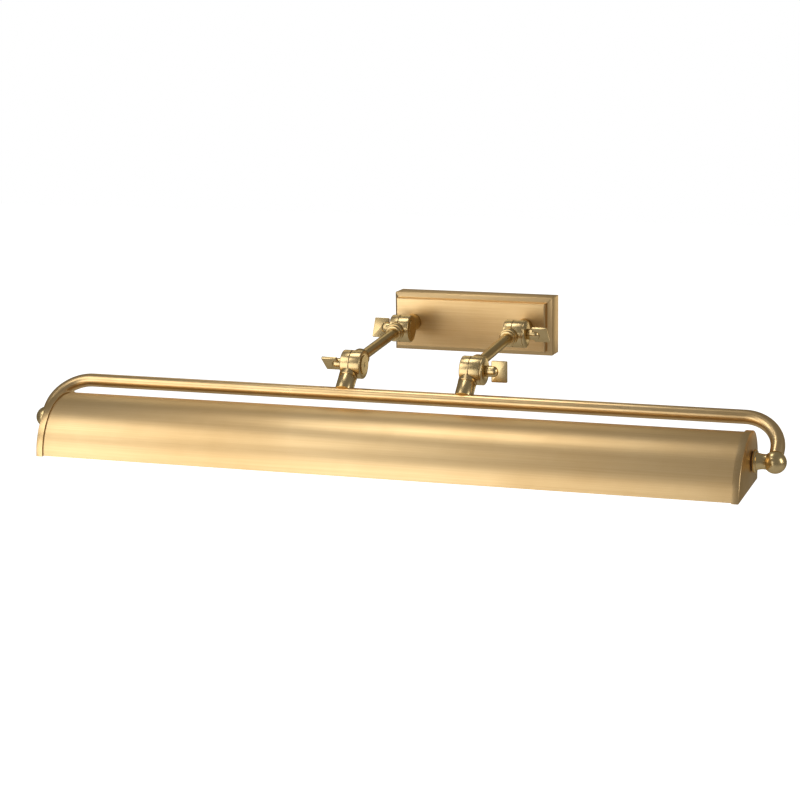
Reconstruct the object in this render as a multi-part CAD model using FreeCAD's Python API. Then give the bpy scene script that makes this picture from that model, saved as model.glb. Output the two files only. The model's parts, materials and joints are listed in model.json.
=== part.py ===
import FreeCAD, Part
import math
import os
from FreeCAD import Vector

# Picture light: stepped wall plate, two swivel arms, bent rail, tilting half-round shade.
# Millimetres. X runs along the shade, -Y is forward from the wall, +Z is up.
# The origin is the centre of the wall plate's back face, where it meets the wall.

# ---------------------------------------------------------------- driving dimensions
# wall plate
PLATE_WIDTH = 165.0
PLATE_HEIGHT = 58.2
PLATE_SIDE_DEPTH = 22.5
PLATE_BEVEL_WIDTH = 4.2
PLATE_BEVEL_DEPTH = 3.0
PLATE_SHELF = 0.6
PLATE_PANEL_RISE = 8.5
PLATE_PANEL_ROUND = 1.2
PLATE_CORNER_ROUND = 0.8
PLATE_WALL = 1.5

# wall bracket, its fixings and the mains connection inside the plate
BRACKET_THICKNESS = 1.6
BRACKET_MARGIN = 7.5
LUG_INSET = 20.5
LUG_WIDTH = 12.0
LUG_DEPTH = 14.0
WALL_HOLE_SPACING = 100.0
WALL_HOLE_DIAMETER = 4.6
COVER_SCREW_DIAMETER = 4.0
COVER_SCREW_HEAD_DIAMETER = 7.0
COVER_SCREW_HEAD_HEIGHT = 2.2
INLET_X = -20.0
INLET_DIAMETER = 8.4
GROMMET_LIP = 1.8
TERMINAL_X = 18.0
TERMINAL_LENGTH = 30.0
TERMINAL_DEPTH = 15.0
TERMINAL_HEIGHT = 13.0
TERMINAL_WAYS = 3
TERMINAL_ENTRY_DIAMETER = 3.2
TERMINAL_SCREW_DIAMETER = 3.6
EARTH_X = -40.0
EARTH_EDGE = 8.0
EARTH_SCREW_DIAMETER = 4.0

# bosses that carry the arms
ARM_INSET = 24.0
BOSS_LENGTH = 40.4
BOSS_RAISE = 0.65
BOSS_NUT_ACROSS_FLATS = 13.0
BOSS_NUT_THICKNESS = 6.0
BOSS_WASHER_DIAMETER = 16.0
BOSS_WASHER_THICKNESS = 1.2

# knuckles: two discs on one pivot screw with a friction washer between them
KNUCKLE_DIAMETER = 26.8
LEFT_HALF_THICKNESS = 8.3
RIGHT_HALF_THICKNESS = 10.7
FRICTION_WASHER_THICKNESS = 0.4
FRICTION_WASHER_INSET = 0.6
KNUCKLE_EDGE_CHAMFER = 0.8
STEM_SHIFT = 1.2
COLLAR_DIAMETER = 17.5
COLLAR_REACH = 16.1
COLLAR_GROOVE_WIDTH = 0.5
COLLAR_GROOVE_DEPTH = 0.75
SLEEVE_DIAMETER = 17.2
STUD_DIAMETER = 8.0
PIVOT_DIAMETER = 6.0
PIVOT_HEAD_DIAMETER = 12.5
PIVOT_HEAD_HEIGHT = 2.6
PIVOT_PROTRUSION = 4.5
FACE_RECESS_DIAMETER = 17.2
FACE_RECESS_DEPTH = 1.4
CUP_WASHER_THICKNESS = 3.0
CUP_WASHER_FLAT_DIAMETER = 14.0

# thumb keys: turns are about +X, positive leans a blade's top forward
KEY_HUB_DIAMETER = 10.5
KEY_HUB_LENGTH = 12.0
KEY_NOSE_LENGTH = 4.6
KEY_BLADE_START = 5.0
KEY_BLADE_LENGTH = 15.0
KEY_BLADE_SPAN = 20.0
KEY_BLADE_THICKNESS = 2.6
KEY_BLADE_CORNER = 0.8
LEFT_WALL_KEY_TURN = -28.0
LEFT_FRONT_KEY_TURN = 50.0
RIGHT_WALL_KEY_TURN = 42.0
RIGHT_FRONT_KEY_TURN = 0.0

# arms
ARM_LENGTH = 138.5
ARM_DROOP = 5.1
ARM_REAR_COLLAR_REACH = 19.0
ARM_FRONT_COLLAR_REACH = 26.0
ARM_STEP_DIAMETER = 15.0
ARM_STEP_LENGTH = 3.0
ARM_TUBE_DIAMETER = 10.0
ARM_TUBE_BORE = 7.0
ARM_TUBE_SEAT = 5.0

# stems, rail and its turned ends
STEM_LEAN = 45.2
STEM_LENGTH = 34.3
STEM_FERRULE_LAP = 3.2
LEG_LEAN = 48.2
LEG_LENGTH = 46.9
RAIL_DIAMETER = 12.8
RAIL_WALL = 1.5
RAIL_BEND_RADIUS = 33.3
BALL_STANDOFF = 19.5
BALL_DIAMETER = 20.0
BALL_SOCKET_FLOOR = 5.0
NECK_DIAMETER = 13.2
FLANGE_DIAMETER = 20.2
FLANGE_THICKNESS = 2.8
FIBRE_WASHER_DIAMETER = 17.0
FIBRE_WASHER_THICKNESS = 0.8
SPINDLE_DIAMETER = 8.0
SPINDLE_NUT_ACROSS_FLATS = 13.0
SPINDLE_NUT_THICKNESS = 4.0
SPINDLE_WASHER_DIAMETER = 15.0

# shade: its section is set out from the tilt axis
SHADE_LENGTH = 663.0
SHADE_RISE = 27.0
SHADE_FRONT_RADIUS = 51.9
SHADE_BACK_RADIUS = 27.0
SHADE_TOP_FLAT = 6.0
SHADE_BACK_REACH = 24.5
SHADE_BACK_DROP = 21.1
SHEET_THICKNESS = 1.0
SHEET_EDGE_LIFT = 0.5
CAP_WEB_THICKNESS = 2.2
CAP_RIM_WIDTH = 6.4
CAP_RIM_THICKNESS = 1.4
CAP_EDGE_CHAMFER = 0.6
CAP_BOSS_DIAMETER = 7.0
CAP_BOSS_LENGTH = 4.6

# wiring tray, lampholders and lamps
TRAY_DROP = 6.0
TRAY_BACK = 0.5
TRAY_WIDTH = 24.0
TRAY_SIDE_HEIGHT = 8.0
TRAY_THICKNESS = 1.0
TRAY_FLANGE_HEIGHT = 12.5
TRAY_SCREW_DIAMETER = 3.0
TRAY_SCREW_SPACING = 13.0
TRAY_SCREW_DROP = 9.0
LAMP_COUNT = 4
LAMP_DROP = 30.5
LAMP_DIAMETER = 25.0
LAMP_LENGTH = 58.0
LAMP_GLASS_WALL = 0.8
LAMP_SHOULDER = 6.0
LAMP_BASE_DIAMETER = 13.6
LAMP_BASE_LENGTH = 19.0
HOLDER_DIAMETER = 27.0
HOLDER_BACK_DIAMETER = 20.0
HOLDER_LENGTH = 34.0
HOLDER_STEP = 10.0
HOLDER_BORE = 16.0
HOLDER_BORE_DEPTH = 20.0
HOLDER_NIPPLE_DIAMETER = 10.0
HOLDER_NIPPLE_BORE = 6.0
HOLDER_LIP = 1.0
BRACKET_STRIP = 1.2
BRACKET_STRIP_WIDTH = 18.0
BRACKET_FOOT_LENGTH = 12.0

# clearances
RUNNING_GAP = 0.08
SEAT_GAP = 0.05
FACE_GAP = 0.10
RELIEF_GAP = 0.50
SCREW_GAP = 0.20

# ---------------------------------------------------------------- derived places
X_AXIS = Vector(1, 0, 0)
Y_AXIS = Vector(0, 1, 0)
Z_AXIS = Vector(0, 0, 1)
SIDES = {"left": -1, "right": 1}

HALF_WIDTH = PLATE_WIDTH / 2
HALF_HEIGHT = PLATE_HEIGHT / 2
PANEL_INSET = PLATE_BEVEL_WIDTH + PLATE_SHELF
PANEL_BASE = PLATE_SIDE_DEPTH + PLATE_BEVEL_DEPTH
PANEL_FRONT = PANEL_BASE + PLATE_PANEL_RISE
LUG_Y = -(LUG_DEPTH + BRACKET_THICKNESS) / 2
LUG_X = HALF_WIDTH - LUG_INSET
BRACKET_TOP = HALF_HEIGHT - BRACKET_MARGIN

KNUCKLE_RADIUS = KNUCKLE_DIAMETER / 2
COLLAR_RADIUS = COLLAR_DIAMETER / 2
PIVOT_BORE = PIVOT_DIAMETER + 2 * RUNNING_GAP
HALF_GAP = FRICTION_WASHER_THICKNESS / 2 + FACE_GAP
DISC_FACE = {"left": -(HALF_GAP + LEFT_HALF_THICKNESS), "right": HALF_GAP + RIGHT_HALF_THICKNESS}
OUTWARD = {"left": -1, "right": 1}

WALL_KNUCKLE = Vector(0, -(PANEL_FRONT + BOSS_LENGTH), BOSS_RAISE)
DROOP = math.radians(ARM_DROOP)
LEAN = math.radians(STEM_LEAN)
LEG_TURN = math.radians(LEG_LEAN)
ARM_DIRECTION = Vector(0, -math.cos(DROOP), -math.sin(DROOP))
STEM_DIRECTION = Vector(0, -math.sin(LEAN), -math.cos(LEAN))
LEG_DIRECTION = Vector(0, -math.sin(LEG_TURN), -math.cos(LEG_TURN))
FRONT_KNUCKLE = WALL_KNUCKLE + ARM_DIRECTION * ARM_LENGTH
RAIL_CENTRE = FRONT_KNUCKLE + STEM_DIRECTION * STEM_LENGTH
TILT_AXIS = RAIL_CENTRE + LEG_DIRECTION * LEG_LENGTH

SHADE_END = SHADE_LENGTH / 2
BALL_X = SHADE_END + BALL_STANDOFF
WEB_INNER = SHADE_END - CAP_WEB_THICKNESS
TRAY_END = WEB_INNER - CAP_BOSS_LENGTH - FACE_GAP
TRAY_TOP = TILT_AXIS.z + SHADE_RISE - TRAY_DROP
TRAY_Y1 = TILT_AXIS.y + TRAY_BACK
TRAY_Y0 = TRAY_Y1 - TRAY_WIDTH
TRAY_SCREW_Z = TRAY_TOP - TRAY_SCREW_DROP
TRAY_SCREW_Y = [(TRAY_Y0 + TRAY_Y1 - TRAY_SCREW_SPACING) / 2,
                (TRAY_Y0 + TRAY_Y1 + TRAY_SCREW_SPACING) / 2]
LAMP_Y = (TRAY_Y0 + TRAY_Y1) / 2
LAMP_Z = TILT_AXIS.z + SHADE_RISE - LAMP_DROP
LAMP_PITCH = 2 * TRAY_END / LAMP_COUNT
LAMP_CENTRES = [LAMP_PITCH * (i - (LAMP_COUNT - 1) / 2) for i in range(LAMP_COUNT)]

parts = {}


# ---------------------------------------------------------------- shape helpers
def box(x0, x1, y0, y1, z0, z1):
    """Box between two corners given as ranges in any order."""
    low = Vector(min(x0, x1), min(y0, y1), min(z0, z1))
    return Part.makeBox(abs(x1 - x0), abs(y1 - y0), abs(z1 - z0), low)


def rod(start, direction, diameter, length):
    """Round bar from start along direction."""
    return Part.makeCylinder(diameter / 2, length, start, direction)


def turned(profile, start, direction):
    """Solid turned about direction: profile holds (distance along it, radius) corners."""
    axis = Vector(direction)
    axis.normalize()
    across = axis.cross(X_AXIS)
    if across.Length < 0.1:
        across = Vector(Z_AXIS)
    across.normalize()
    corners = [start + axis * along + across * radius for along, radius in profile]
    return Part.Face(Part.makePolygon(corners + corners[:1])).revolve(start, axis, 360)


def arc_corners(centre, radius, first, last, steps):
    """Corners along an arc of a turned profile, angles in degrees from its axis."""
    corners = []
    for i in range(steps + 1):
        angle = math.radians(first + (last - first) * i / steps)
        corners.append((centre + radius * math.cos(angle), radius * math.sin(angle)))
    return corners


def hexagon(start, direction, across_flats, thickness, bore):
    """Hexagonal nut with a plain bore."""
    reach = across_flats / math.sqrt(3)
    turns = [math.radians(60 * i) for i in range(7)]
    corners = [Vector(reach * math.cos(t), reach * math.sin(t), 0) for t in turns]
    nut = Part.Face(Part.makePolygon(corners)).extrude(Vector(0, 0, thickness))
    nut = nut.cut(Part.makeCylinder(bore / 2, thickness))
    nut.Placement = FreeCAD.Placement(start, FreeCAD.Rotation(Z_AXIS, direction))
    return nut


def washer(start, direction, diameter, thickness, bore):
    """Flat ring."""
    profile = [(0, bore / 2), (0, diameter / 2), (thickness, diameter / 2), (thickness, bore / 2)]
    return turned(profile, start, direction)


def add(name, *solids):
    """Register one named piece, or several alike that share its name."""
    parts[name] = solids[0] if len(solids) == 1 else Part.makeCompound(list(solids))


# ---------------------------------------------------------------- wall plate and its inside
def rectangle(half_width, half_height, y):
    """Closed rectangular wire facing the wall."""
    corners = [Vector(-half_width, y, -half_height), Vector(half_width, y, -half_height),
               Vector(half_width, y, half_height), Vector(-half_width, y, half_height)]
    return Part.makePolygon(corners + corners[:1])


def wall_plate():
    """Stepped hollow cover: side walls, a bevel, a small shelf and a raised panel."""
    base = box(-HALF_WIDTH, HALF_WIDTH, -PLATE_SIDE_DEPTH, 0, -HALF_HEIGHT, HALF_HEIGHT)
    outer = rectangle(HALF_WIDTH, HALF_HEIGHT, -PLATE_SIDE_DEPTH)
    inner = rectangle(HALF_WIDTH - PLATE_BEVEL_WIDTH, HALF_HEIGHT - PLATE_BEVEL_WIDTH, -PANEL_BASE)
    bevel = Part.makeLoft([outer, inner], True, True)
    cover = base.fuse(bevel)
    corners = [e for e in cover.Edges if e.BoundBox.YLength > PLATE_SIDE_DEPTH - 1]
    cover = cover.makeFillet(PLATE_CORNER_ROUND, corners)
    panel_x = HALF_WIDTH - PANEL_INSET
    panel_z = HALF_HEIGHT - PANEL_INSET
    panel = box(-panel_x, panel_x, -PANEL_FRONT, -PLATE_SIDE_DEPTH, -panel_z, panel_z)
    upright = [e for e in panel.Edges if e.BoundBox.YLength > PLATE_PANEL_RISE]
    panel = panel.makeFillet(PLATE_CORNER_ROUND, upright)
    front = [e for e in panel.Edges if e.BoundBox.YMax < -PANEL_FRONT + 0.01]
    panel = panel.makeFillet(PLATE_PANEL_ROUND, front)
    cover = cover.fuse(panel)
    wide_x = HALF_WIDTH - PLATE_WALL
    wide_z = HALF_HEIGHT - PLATE_WALL
    cover = cover.cut(box(-wide_x, wide_x, -PLATE_SIDE_DEPTH, 1, -wide_z, wide_z))
    deep_x = panel_x - PLATE_WALL
    deep_z = panel_z - PLATE_WALL
    cover = cover.cut(box(-deep_x, deep_x, -PANEL_FRONT + PLATE_WALL, 1, -deep_z, deep_z))
    for side in SIDES.values():
        start = Vector(stem_x(side), -PANEL_FRONT - 1, WALL_KNUCKLE.z)
        cover = cover.cut(rod(start, Y_AXIS, STUD_DIAMETER + 2 * SEAT_GAP, PLATE_WALL + 2))
        start = Vector(side * LUG_X, LUG_Y, -HALF_HEIGHT - 1)
        cover = cover.cut(rod(start, Z_AXIS, COVER_SCREW_DIAMETER + 2 * SCREW_GAP, PLATE_WALL + 2))
    return cover


def wall_bracket():
    """Steel strap on the wall with holes for its screws and the cable, and lugs for the cover."""
    bracket_x = HALF_WIDTH - BRACKET_MARGIN
    bracket = box(-bracket_x, bracket_x, -BRACKET_THICKNESS, 0, -BRACKET_TOP, BRACKET_TOP)
    reach = HALF_HEIGHT - PLATE_WALL - FACE_GAP
    for side in SIDES.values():
        x0 = side * LUG_X - LUG_WIDTH / 2
        x1 = side * LUG_X + LUG_WIDTH / 2
        for way in (-1, 1):
            foot = box(x0, x1, -BRACKET_THICKNESS, 0, way * BRACKET_TOP, way * reach)
            lug = box(x0, x1, -LUG_DEPTH, 0, way * (reach - BRACKET_THICKNESS), way * reach)
            bracket = bracket.fuse([foot, lug])
        start = Vector(side * LUG_X, LUG_Y, -reach - 1)
        bracket = bracket.cut(rod(start, Z_AXIS, COVER_SCREW_DIAMETER + 2 * SEAT_GAP, BRACKET_THICKNESS + 2))
        bracket = bracket.cut(strap_hole(side * WALL_HOLE_SPACING / 2, 0, WALL_HOLE_DIAMETER))
    bracket = bracket.cut(strap_hole(INLET_X, 0, INLET_DIAMETER + 2 * GROMMET_LIP))
    bracket = bracket.cut(strap_hole(EARTH_X, EARTH_EDGE - BRACKET_TOP, EARTH_SCREW_DIAMETER + 2 * SEAT_GAP))
    return bracket.removeSplitter()


def strap_hole(x, z, diameter):
    """Cutter for one round hole through the strap."""
    return rod(Vector(x, -BRACKET_THICKNESS - 1, z), Y_AXIS, diameter, BRACKET_THICKNESS + 2)


def inlet_grommet():
    """Rubber ring that lines the strap's cable hole."""
    bore = INLET_DIAMETER / 2
    waist = bore + GROMMET_LIP - SEAT_GAP
    lip = bore + 2 * GROMMET_LIP
    seat = BRACKET_THICKNESS + SEAT_GAP
    profile = [(0, bore), (0, waist), (seat, waist), (seat, lip), (seat + GROMMET_LIP * 0.6, lip),
               (seat + GROMMET_LIP, lip - GROMMET_LIP * 0.4), (seat + GROMMET_LIP, bore)]
    return turned(profile, Vector(INLET_X, 0, 0), -Y_AXIS)


def pan_screw(start, direction, shank_diameter, head_diameter, head_height, reach):
    """Pan-head screw: its head stands behind start, its shank goes along direction."""
    head = head_diameter / 2
    shank = shank_diameter / 2
    profile = [(-head_height, 0), (-head_height, head * 0.55), (-head_height * 0.45, head), (0, head),
               (0, shank), (reach, shank), (reach, 0)]
    return turned(profile, start, direction)


def cover_screw(side):
    """Screw that holds the cover to a lug from below."""
    reach = PLATE_WALL + FACE_GAP + BRACKET_THICKNESS + 1.5
    start = Vector(side * LUG_X, LUG_Y, -HALF_HEIGHT - FACE_GAP / 2)
    return pan_screw(start, Z_AXIS, COVER_SCREW_DIAMETER, COVER_SCREW_HEAD_DIAMETER,
                     COVER_SCREW_HEAD_HEIGHT, reach)


def terminal_places():
    """Centres of the terminal screws as (x, z)."""
    pitch = TERMINAL_LENGTH / TERMINAL_WAYS
    first = TERMINAL_X - TERMINAL_LENGTH / 2
    return [(first + pitch * (i + 0.5), way * TERMINAL_HEIGHT / 4)
            for i in range(TERMINAL_WAYS) for way in (-1, 1)]


def terminal_block():
    """Connector block with a wire bore along each way and two screw wells over it."""
    x0 = TERMINAL_X - TERMINAL_LENGTH / 2
    y1 = -BRACKET_THICKNESS - SEAT_GAP
    y0 = y1 - TERMINAL_DEPTH
    half_z = TERMINAL_HEIGHT / 2
    block = box(x0, x0 + TERMINAL_LENGTH, y0, y1, -half_z, half_z)
    for x, z in terminal_places():
        entry = Vector(x, y1 - TERMINAL_DEPTH * 0.4, -half_z - 1)
        block = block.cut(rod(entry, Z_AXIS, TERMINAL_ENTRY_DIAMETER, TERMINAL_HEIGHT + 2))
        well = Vector(x, y0 - 1, z)
        across = TERMINAL_SCREW_DIAMETER + 2 * SEAT_GAP
        block = block.cut(rod(well, Y_AXIS, across, TERMINAL_DEPTH * 0.6 + 1))
    for i in range(1, TERMINAL_WAYS):
        x = x0 + TERMINAL_LENGTH * i / TERMINAL_WAYS
        block = block.cut(box(x - 0.5, x + 0.5, y0 - 1, y0 + 2.5, -half_z - 1, half_z + 1))
    return block


def terminal_screw(x, z):
    """Clamping screw sunk in its well, with a slot."""
    y0 = -BRACKET_THICKNESS - SEAT_GAP - TERMINAL_DEPTH + 1.0
    length = TERMINAL_DEPTH * 0.4 - 1.0
    screw = rod(Vector(x, y0, z), Y_AXIS, TERMINAL_SCREW_DIAMETER, length)
    return screw.cut(box(x - 3, x + 3, y0 - 1, y0 + 0.8, z - 0.4, z + 0.4))


def earth_terminal():
    """Earth screw standing on the strap, one solid with its tightened nut and washer."""
    start = Vector(EARTH_X, 0, EARTH_EDGE - BRACKET_TOP)
    out = -Y_AXIS
    stem = rod(start, out, EARTH_SCREW_DIAMETER, 12.0)
    base = BRACKET_THICKNESS + SEAT_GAP
    pieces = [hexagon(start + out * base, out, 7.0, 3.2, 1.0),
              rod(start + out * (base + 4.2), out, 9.0, 0.8),
              hexagon(start + out * (base + 5.0), out, 7.0, 3.2, 1.0)]
    return stem.fuse(pieces)


# ---------------------------------------------------------------- knuckles
def mating_x(side):
    """X of the plane between a knuckle's two discs."""
    return side * (HALF_WIDTH - ARM_INSET)


def stem_x(side):
    """X of the stems and arms, a little to the left of the mating plane."""
    return mating_x(side) - STEM_SHIFT


def half_disc(side, centre, half):
    """One disc of a knuckle, chamfered on its outer rim."""
    inner = mating_x(side) + OUTWARD[half] * HALF_GAP
    thickness = abs(DISC_FACE[half]) - HALF_GAP
    edge = KNUCKLE_EDGE_CHAMFER
    profile = [(0, 0), (0, KNUCKLE_RADIUS), (thickness - edge, KNUCKLE_RADIUS),
               (thickness, KNUCKLE_RADIUS - edge), (thickness, 0)]
    return turned(profile, Vector(inner, centre.y, centre.z), X_AXIS * OUTWARD[half])


def stem(side, centre, direction, half, profile):
    """Turned stem of an eye, cleared round the other disc and flush with its own disc's face."""
    start = Vector(stem_x(side), centre.y, centre.z)
    shape = turned(profile, start, direction)
    out = X_AXIS * OUTWARD[half]
    inner = Vector(mating_x(side) + OUTWARD[half] * (HALF_GAP - 0.001), centre.y, centre.z)
    shape = shape.cut(rod(inner, -out, KNUCKLE_DIAMETER + 2 * RELIEF_GAP, 2 * COLLAR_DIAMETER))
    outer = Vector(mating_x(side) + DISC_FACE[half], centre.y, centre.z)
    return shape.cut(rod(outer, out, KNUCKLE_DIAMETER, 2 * COLLAR_DIAMETER))


def pivot_hole(side, centre):
    """Cutter for the pivot screw through both discs."""
    return rod(Vector(mating_x(side) - COLLAR_DIAMETER, centre.y, centre.z), X_AXIS, PIVOT_BORE,
               2 * COLLAR_DIAMETER)


def eye(side, centre, direction, half, profile, screw_head):
    """Disc with a turned stem, and a dished face where a screw head sits on it."""
    body = half_disc(side, centre, half).fuse(stem(side, centre, direction, half, profile))
    body = body.cut(pivot_hole(side, centre))
    if screw_head:
        face = mating_x(side) + DISC_FACE[half]
        start = Vector(face - OUTWARD[half] * FACE_RECESS_DEPTH, centre.y, centre.z)
        body = body.cut(rod(start, X_AXIS * OUTWARD[half], FACE_RECESS_DIAMETER, FACE_RECESS_DEPTH + 1))
    return body


def stud_stem(stud_end):
    """Stem profile with a grooved collar and a long stud."""
    groove = COLLAR_RADIUS - COLLAR_GROOVE_DEPTH
    stud = STUD_DIAMETER / 2
    return [(PIVOT_DIAMETER / 2, 0), (PIVOT_DIAMETER / 2, COLLAR_RADIUS),
            (COLLAR_REACH - COLLAR_GROOVE_WIDTH, COLLAR_RADIUS),
            (COLLAR_REACH - COLLAR_GROOVE_WIDTH, groove), (COLLAR_REACH, groove), (COLLAR_REACH, stud),
            (stud_end, stud), (stud_end, 0)]


def arm_stem(reach):
    """Stem profile with a collar that ends at reach, a step and a socket for the arm's tube."""
    step = ARM_STEP_DIAMETER / 2
    end = reach + ARM_STEP_LENGTH
    socket = ARM_TUBE_DIAMETER / 2 + SEAT_GAP
    return [(PIVOT_DIAMETER / 2, 0), (PIVOT_DIAMETER / 2, COLLAR_RADIUS),
            (reach - 0.4, COLLAR_RADIUS), (reach, COLLAR_RADIUS - 0.4),
            (reach, step), (end - 0.5, step), (end, step - 0.5), (end, socket),
            (end - ARM_TUBE_SEAT, socket), (end - ARM_TUBE_SEAT, 0)]


def arm_tube(side):
    """Plain tube seated in the sockets of the arm's two eyes."""
    inset = ARM_STEP_LENGTH - ARM_TUBE_SEAT + SEAT_GAP
    first = ARM_REAR_COLLAR_REACH + inset
    length = ARM_LENGTH - first - ARM_FRONT_COLLAR_REACH - inset
    start = Vector(stem_x(side), WALL_KNUCKLE.y, WALL_KNUCKLE.z) + ARM_DIRECTION * first
    return washer(start, ARM_DIRECTION, ARM_TUBE_DIAMETER, length, ARM_TUBE_BORE)


def sleeve(side, centre, direction, first, last):
    """Plain sleeve over a stud, chamfered at its far end."""
    outer = SLEEVE_DIAMETER / 2
    bore = STUD_DIAMETER / 2 + SEAT_GAP
    start = Vector(stem_x(side), centre.y, centre.z) + direction * first
    length = last - first
    profile = [(0, bore), (0, outer), (length - 0.4, outer), (length, outer - 0.4), (length, bore)]
    return turned(profile, start, direction)


def stem_ferrule(side):
    """Sleeve between a stem's collar and the rail, saddled over the rail."""
    last = STEM_LENGTH - STEM_FERRULE_LAP
    shape = sleeve(side, FRONT_KNUCKLE, STEM_DIRECTION, COLLAR_REACH + SEAT_GAP, last)
    start = Vector(stem_x(side) - COLLAR_DIAMETER, RAIL_CENTRE.y, RAIL_CENTRE.z)
    return shape.cut(rod(start, X_AXIS, RAIL_DIAMETER + 2 * SEAT_GAP, 2 * COLLAR_DIAMETER))


def friction_washer(side, centre):
    """Thin washer between a knuckle's discs."""
    start = Vector(mating_x(side) - FRICTION_WASHER_THICKNESS / 2, centre.y, centre.z)
    diameter = KNUCKLE_DIAMETER - 2 * FRICTION_WASHER_INSET
    return washer(start, X_AXIS, diameter, FRICTION_WASHER_THICKNESS, PIVOT_BORE)


def cup_washer(side, centre):
    """Convex washer between a right-hand disc and its key."""
    start = Vector(mating_x(side) + DISC_FACE["right"] + SEAT_GAP, centre.y, centre.z)
    flat = CUP_WASHER_FLAT_DIAMETER / 2
    straight = CUP_WASHER_THICKNESS * 0.25
    profile = [(0, PIVOT_BORE / 2), (0, KNUCKLE_RADIUS)]
    for i in range(9):
        angle = math.radians(90 * i / 8)
        profile.append((straight + (CUP_WASHER_THICKNESS - straight) * math.sin(angle),
                        flat + (KNUCKLE_RADIUS - flat) * math.cos(angle)))
    profile.append((CUP_WASHER_THICKNESS, PIVOT_BORE / 2))
    return turned(profile, start, X_AXIS)


def key_seat(half):
    """Distance from the mating plane to the face where a key's hub starts."""
    if half == "left":
        return DISC_FACE["left"] - FACE_GAP
    return DISC_FACE["right"] + SEAT_GAP + CUP_WASHER_THICKNESS + FACE_GAP


def pivot_screw(side, centre, head_half, key_half):
    """Domed screw: its head sits in the dished face and its end reaches into the key."""
    out = OUTWARD[head_half]
    seat = mating_x(side) + DISC_FACE[head_half] - out * (FACE_RECESS_DEPTH - SEAT_GAP)
    tip = mating_x(side) + key_seat(key_half) + OUTWARD[key_half] * PIVOT_PROTRUSION
    head = PIVOT_HEAD_DIAMETER / 2
    rim = PIVOT_HEAD_HEIGHT * 0.35
    dome = PIVOT_HEAD_HEIGHT - rim
    dome_radius = (head ** 2 + dome ** 2) / (2 * dome)
    spread = math.degrees(math.asin(head / dome_radius))
    length = abs(seat - tip)
    profile = [(-length, 0), (-length, PIVOT_DIAMETER / 2), (0, PIVOT_DIAMETER / 2), (0, head)]
    profile += arc_corners(PIVOT_HEAD_HEIGHT - dome_radius, dome_radius, spread, 0, 8)
    return turned(profile, Vector(seat, centre.y, centre.z), X_AXIS * out)


def key_pieces(side, centre, half, turn):
    """Thumb key: a round hub with a bullet nose, and a flat blade let into its slot."""
    out = OUTWARD[half]
    seat = Vector(mating_x(side) + key_seat(half), centre.y, centre.z)
    radius = KEY_HUB_DIAMETER / 2
    straight = KEY_HUB_LENGTH - KEY_NOSE_LENGTH
    profile = [(0, 0), (0, radius - 0.4), (0.4, radius), (straight, radius)]
    for i in range(1, 9):
        angle = math.radians(90 * i / 8)
        profile.append((straight + KEY_NOSE_LENGTH * math.sin(angle), max(0, radius * math.cos(angle))))
    profile[-1] = (KEY_HUB_LENGTH, 0)
    hub = turned(profile, seat, X_AXIS * out)
    bore_depth = PIVOT_PROTRUSION + 0.3
    hub = hub.cut(rod(seat - X_AXIS * out, X_AXIS * out, PIVOT_BORE, bore_depth + 1))
    half_t = KEY_BLADE_THICKNESS / 2
    half_s = KEY_BLADE_SPAN / 2
    x0 = seat.x + out * KEY_BLADE_START
    blade = box(x0, x0 + out * KEY_BLADE_LENGTH, seat.y - half_t, seat.y + half_t,
                seat.z - half_s, seat.z + half_s)
    corners = [e for e in blade.Edges if e.BoundBox.YLength > KEY_BLADE_THICKNESS - 0.1]
    blade = blade.makeFillet(KEY_BLADE_CORNER, corners)
    wide = half_t + SEAT_GAP
    slot = box(x0 - out * SEAT_GAP, x0 + out * KEY_BLADE_LENGTH, seat.y - wide, seat.y + wide,
               seat.z - radius - 1, seat.z + radius + 1)
    hub = hub.cut(slot)
    for piece in (hub, blade):
        piece.rotate(seat, X_AXIS, turn)
    return hub, blade


# ---------------------------------------------------------------- rail
def bent_bar(diameter, leg_end):
    """Straight bar, two bends and two legs, the legs ending leg_end short of the tilt axis."""
    inward = BALL_X - RAIL_BEND_RADIUS
    bar = rod(RAIL_CENTRE - X_AXIS * inward, X_AXIS, diameter, 2 * inward)
    pieces = []
    for side in SIDES.values():
        top = RAIL_CENTRE + X_AXIS * side * inward
        ring = Part.Face(Part.Wire(Part.makeCircle(diameter / 2, top, X_AXIS)))
        pieces.append(ring.revolve(top + LEG_DIRECTION * RAIL_BEND_RADIUS,
                                   LEG_DIRECTION.cross(X_AXIS) * -side, 90))
        leg = TILT_AXIS + X_AXIS * side * BALL_X - LEG_DIRECTION * (LEG_LENGTH - RAIL_BEND_RADIUS)
        pieces.append(rod(leg, LEG_DIRECTION, diameter, LEG_LENGTH - RAIL_BEND_RADIUS - leg_end))
    return bar.fuse(pieces)


def rail_tube():
    """Bent tube with a hole under each stem for its stud."""
    outer = bent_bar(RAIL_DIAMETER, BALL_SOCKET_FLOOR + SEAT_GAP)
    tube = outer.cut(bent_bar(RAIL_DIAMETER - 2 * RAIL_WALL, BALL_SOCKET_FLOOR - 1))
    for side in SIDES.values():
        start = RAIL_CENTRE + X_AXIS * stem_x(side)
        tube = tube.cut(rod(start, -STEM_DIRECTION, STUD_DIAMETER + 2 * SEAT_GAP, RAIL_DIAMETER))
    return tube


FLANGE_X = SHADE_END + FIBRE_WASHER_THICKNESS + 2 * FACE_GAP


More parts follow.
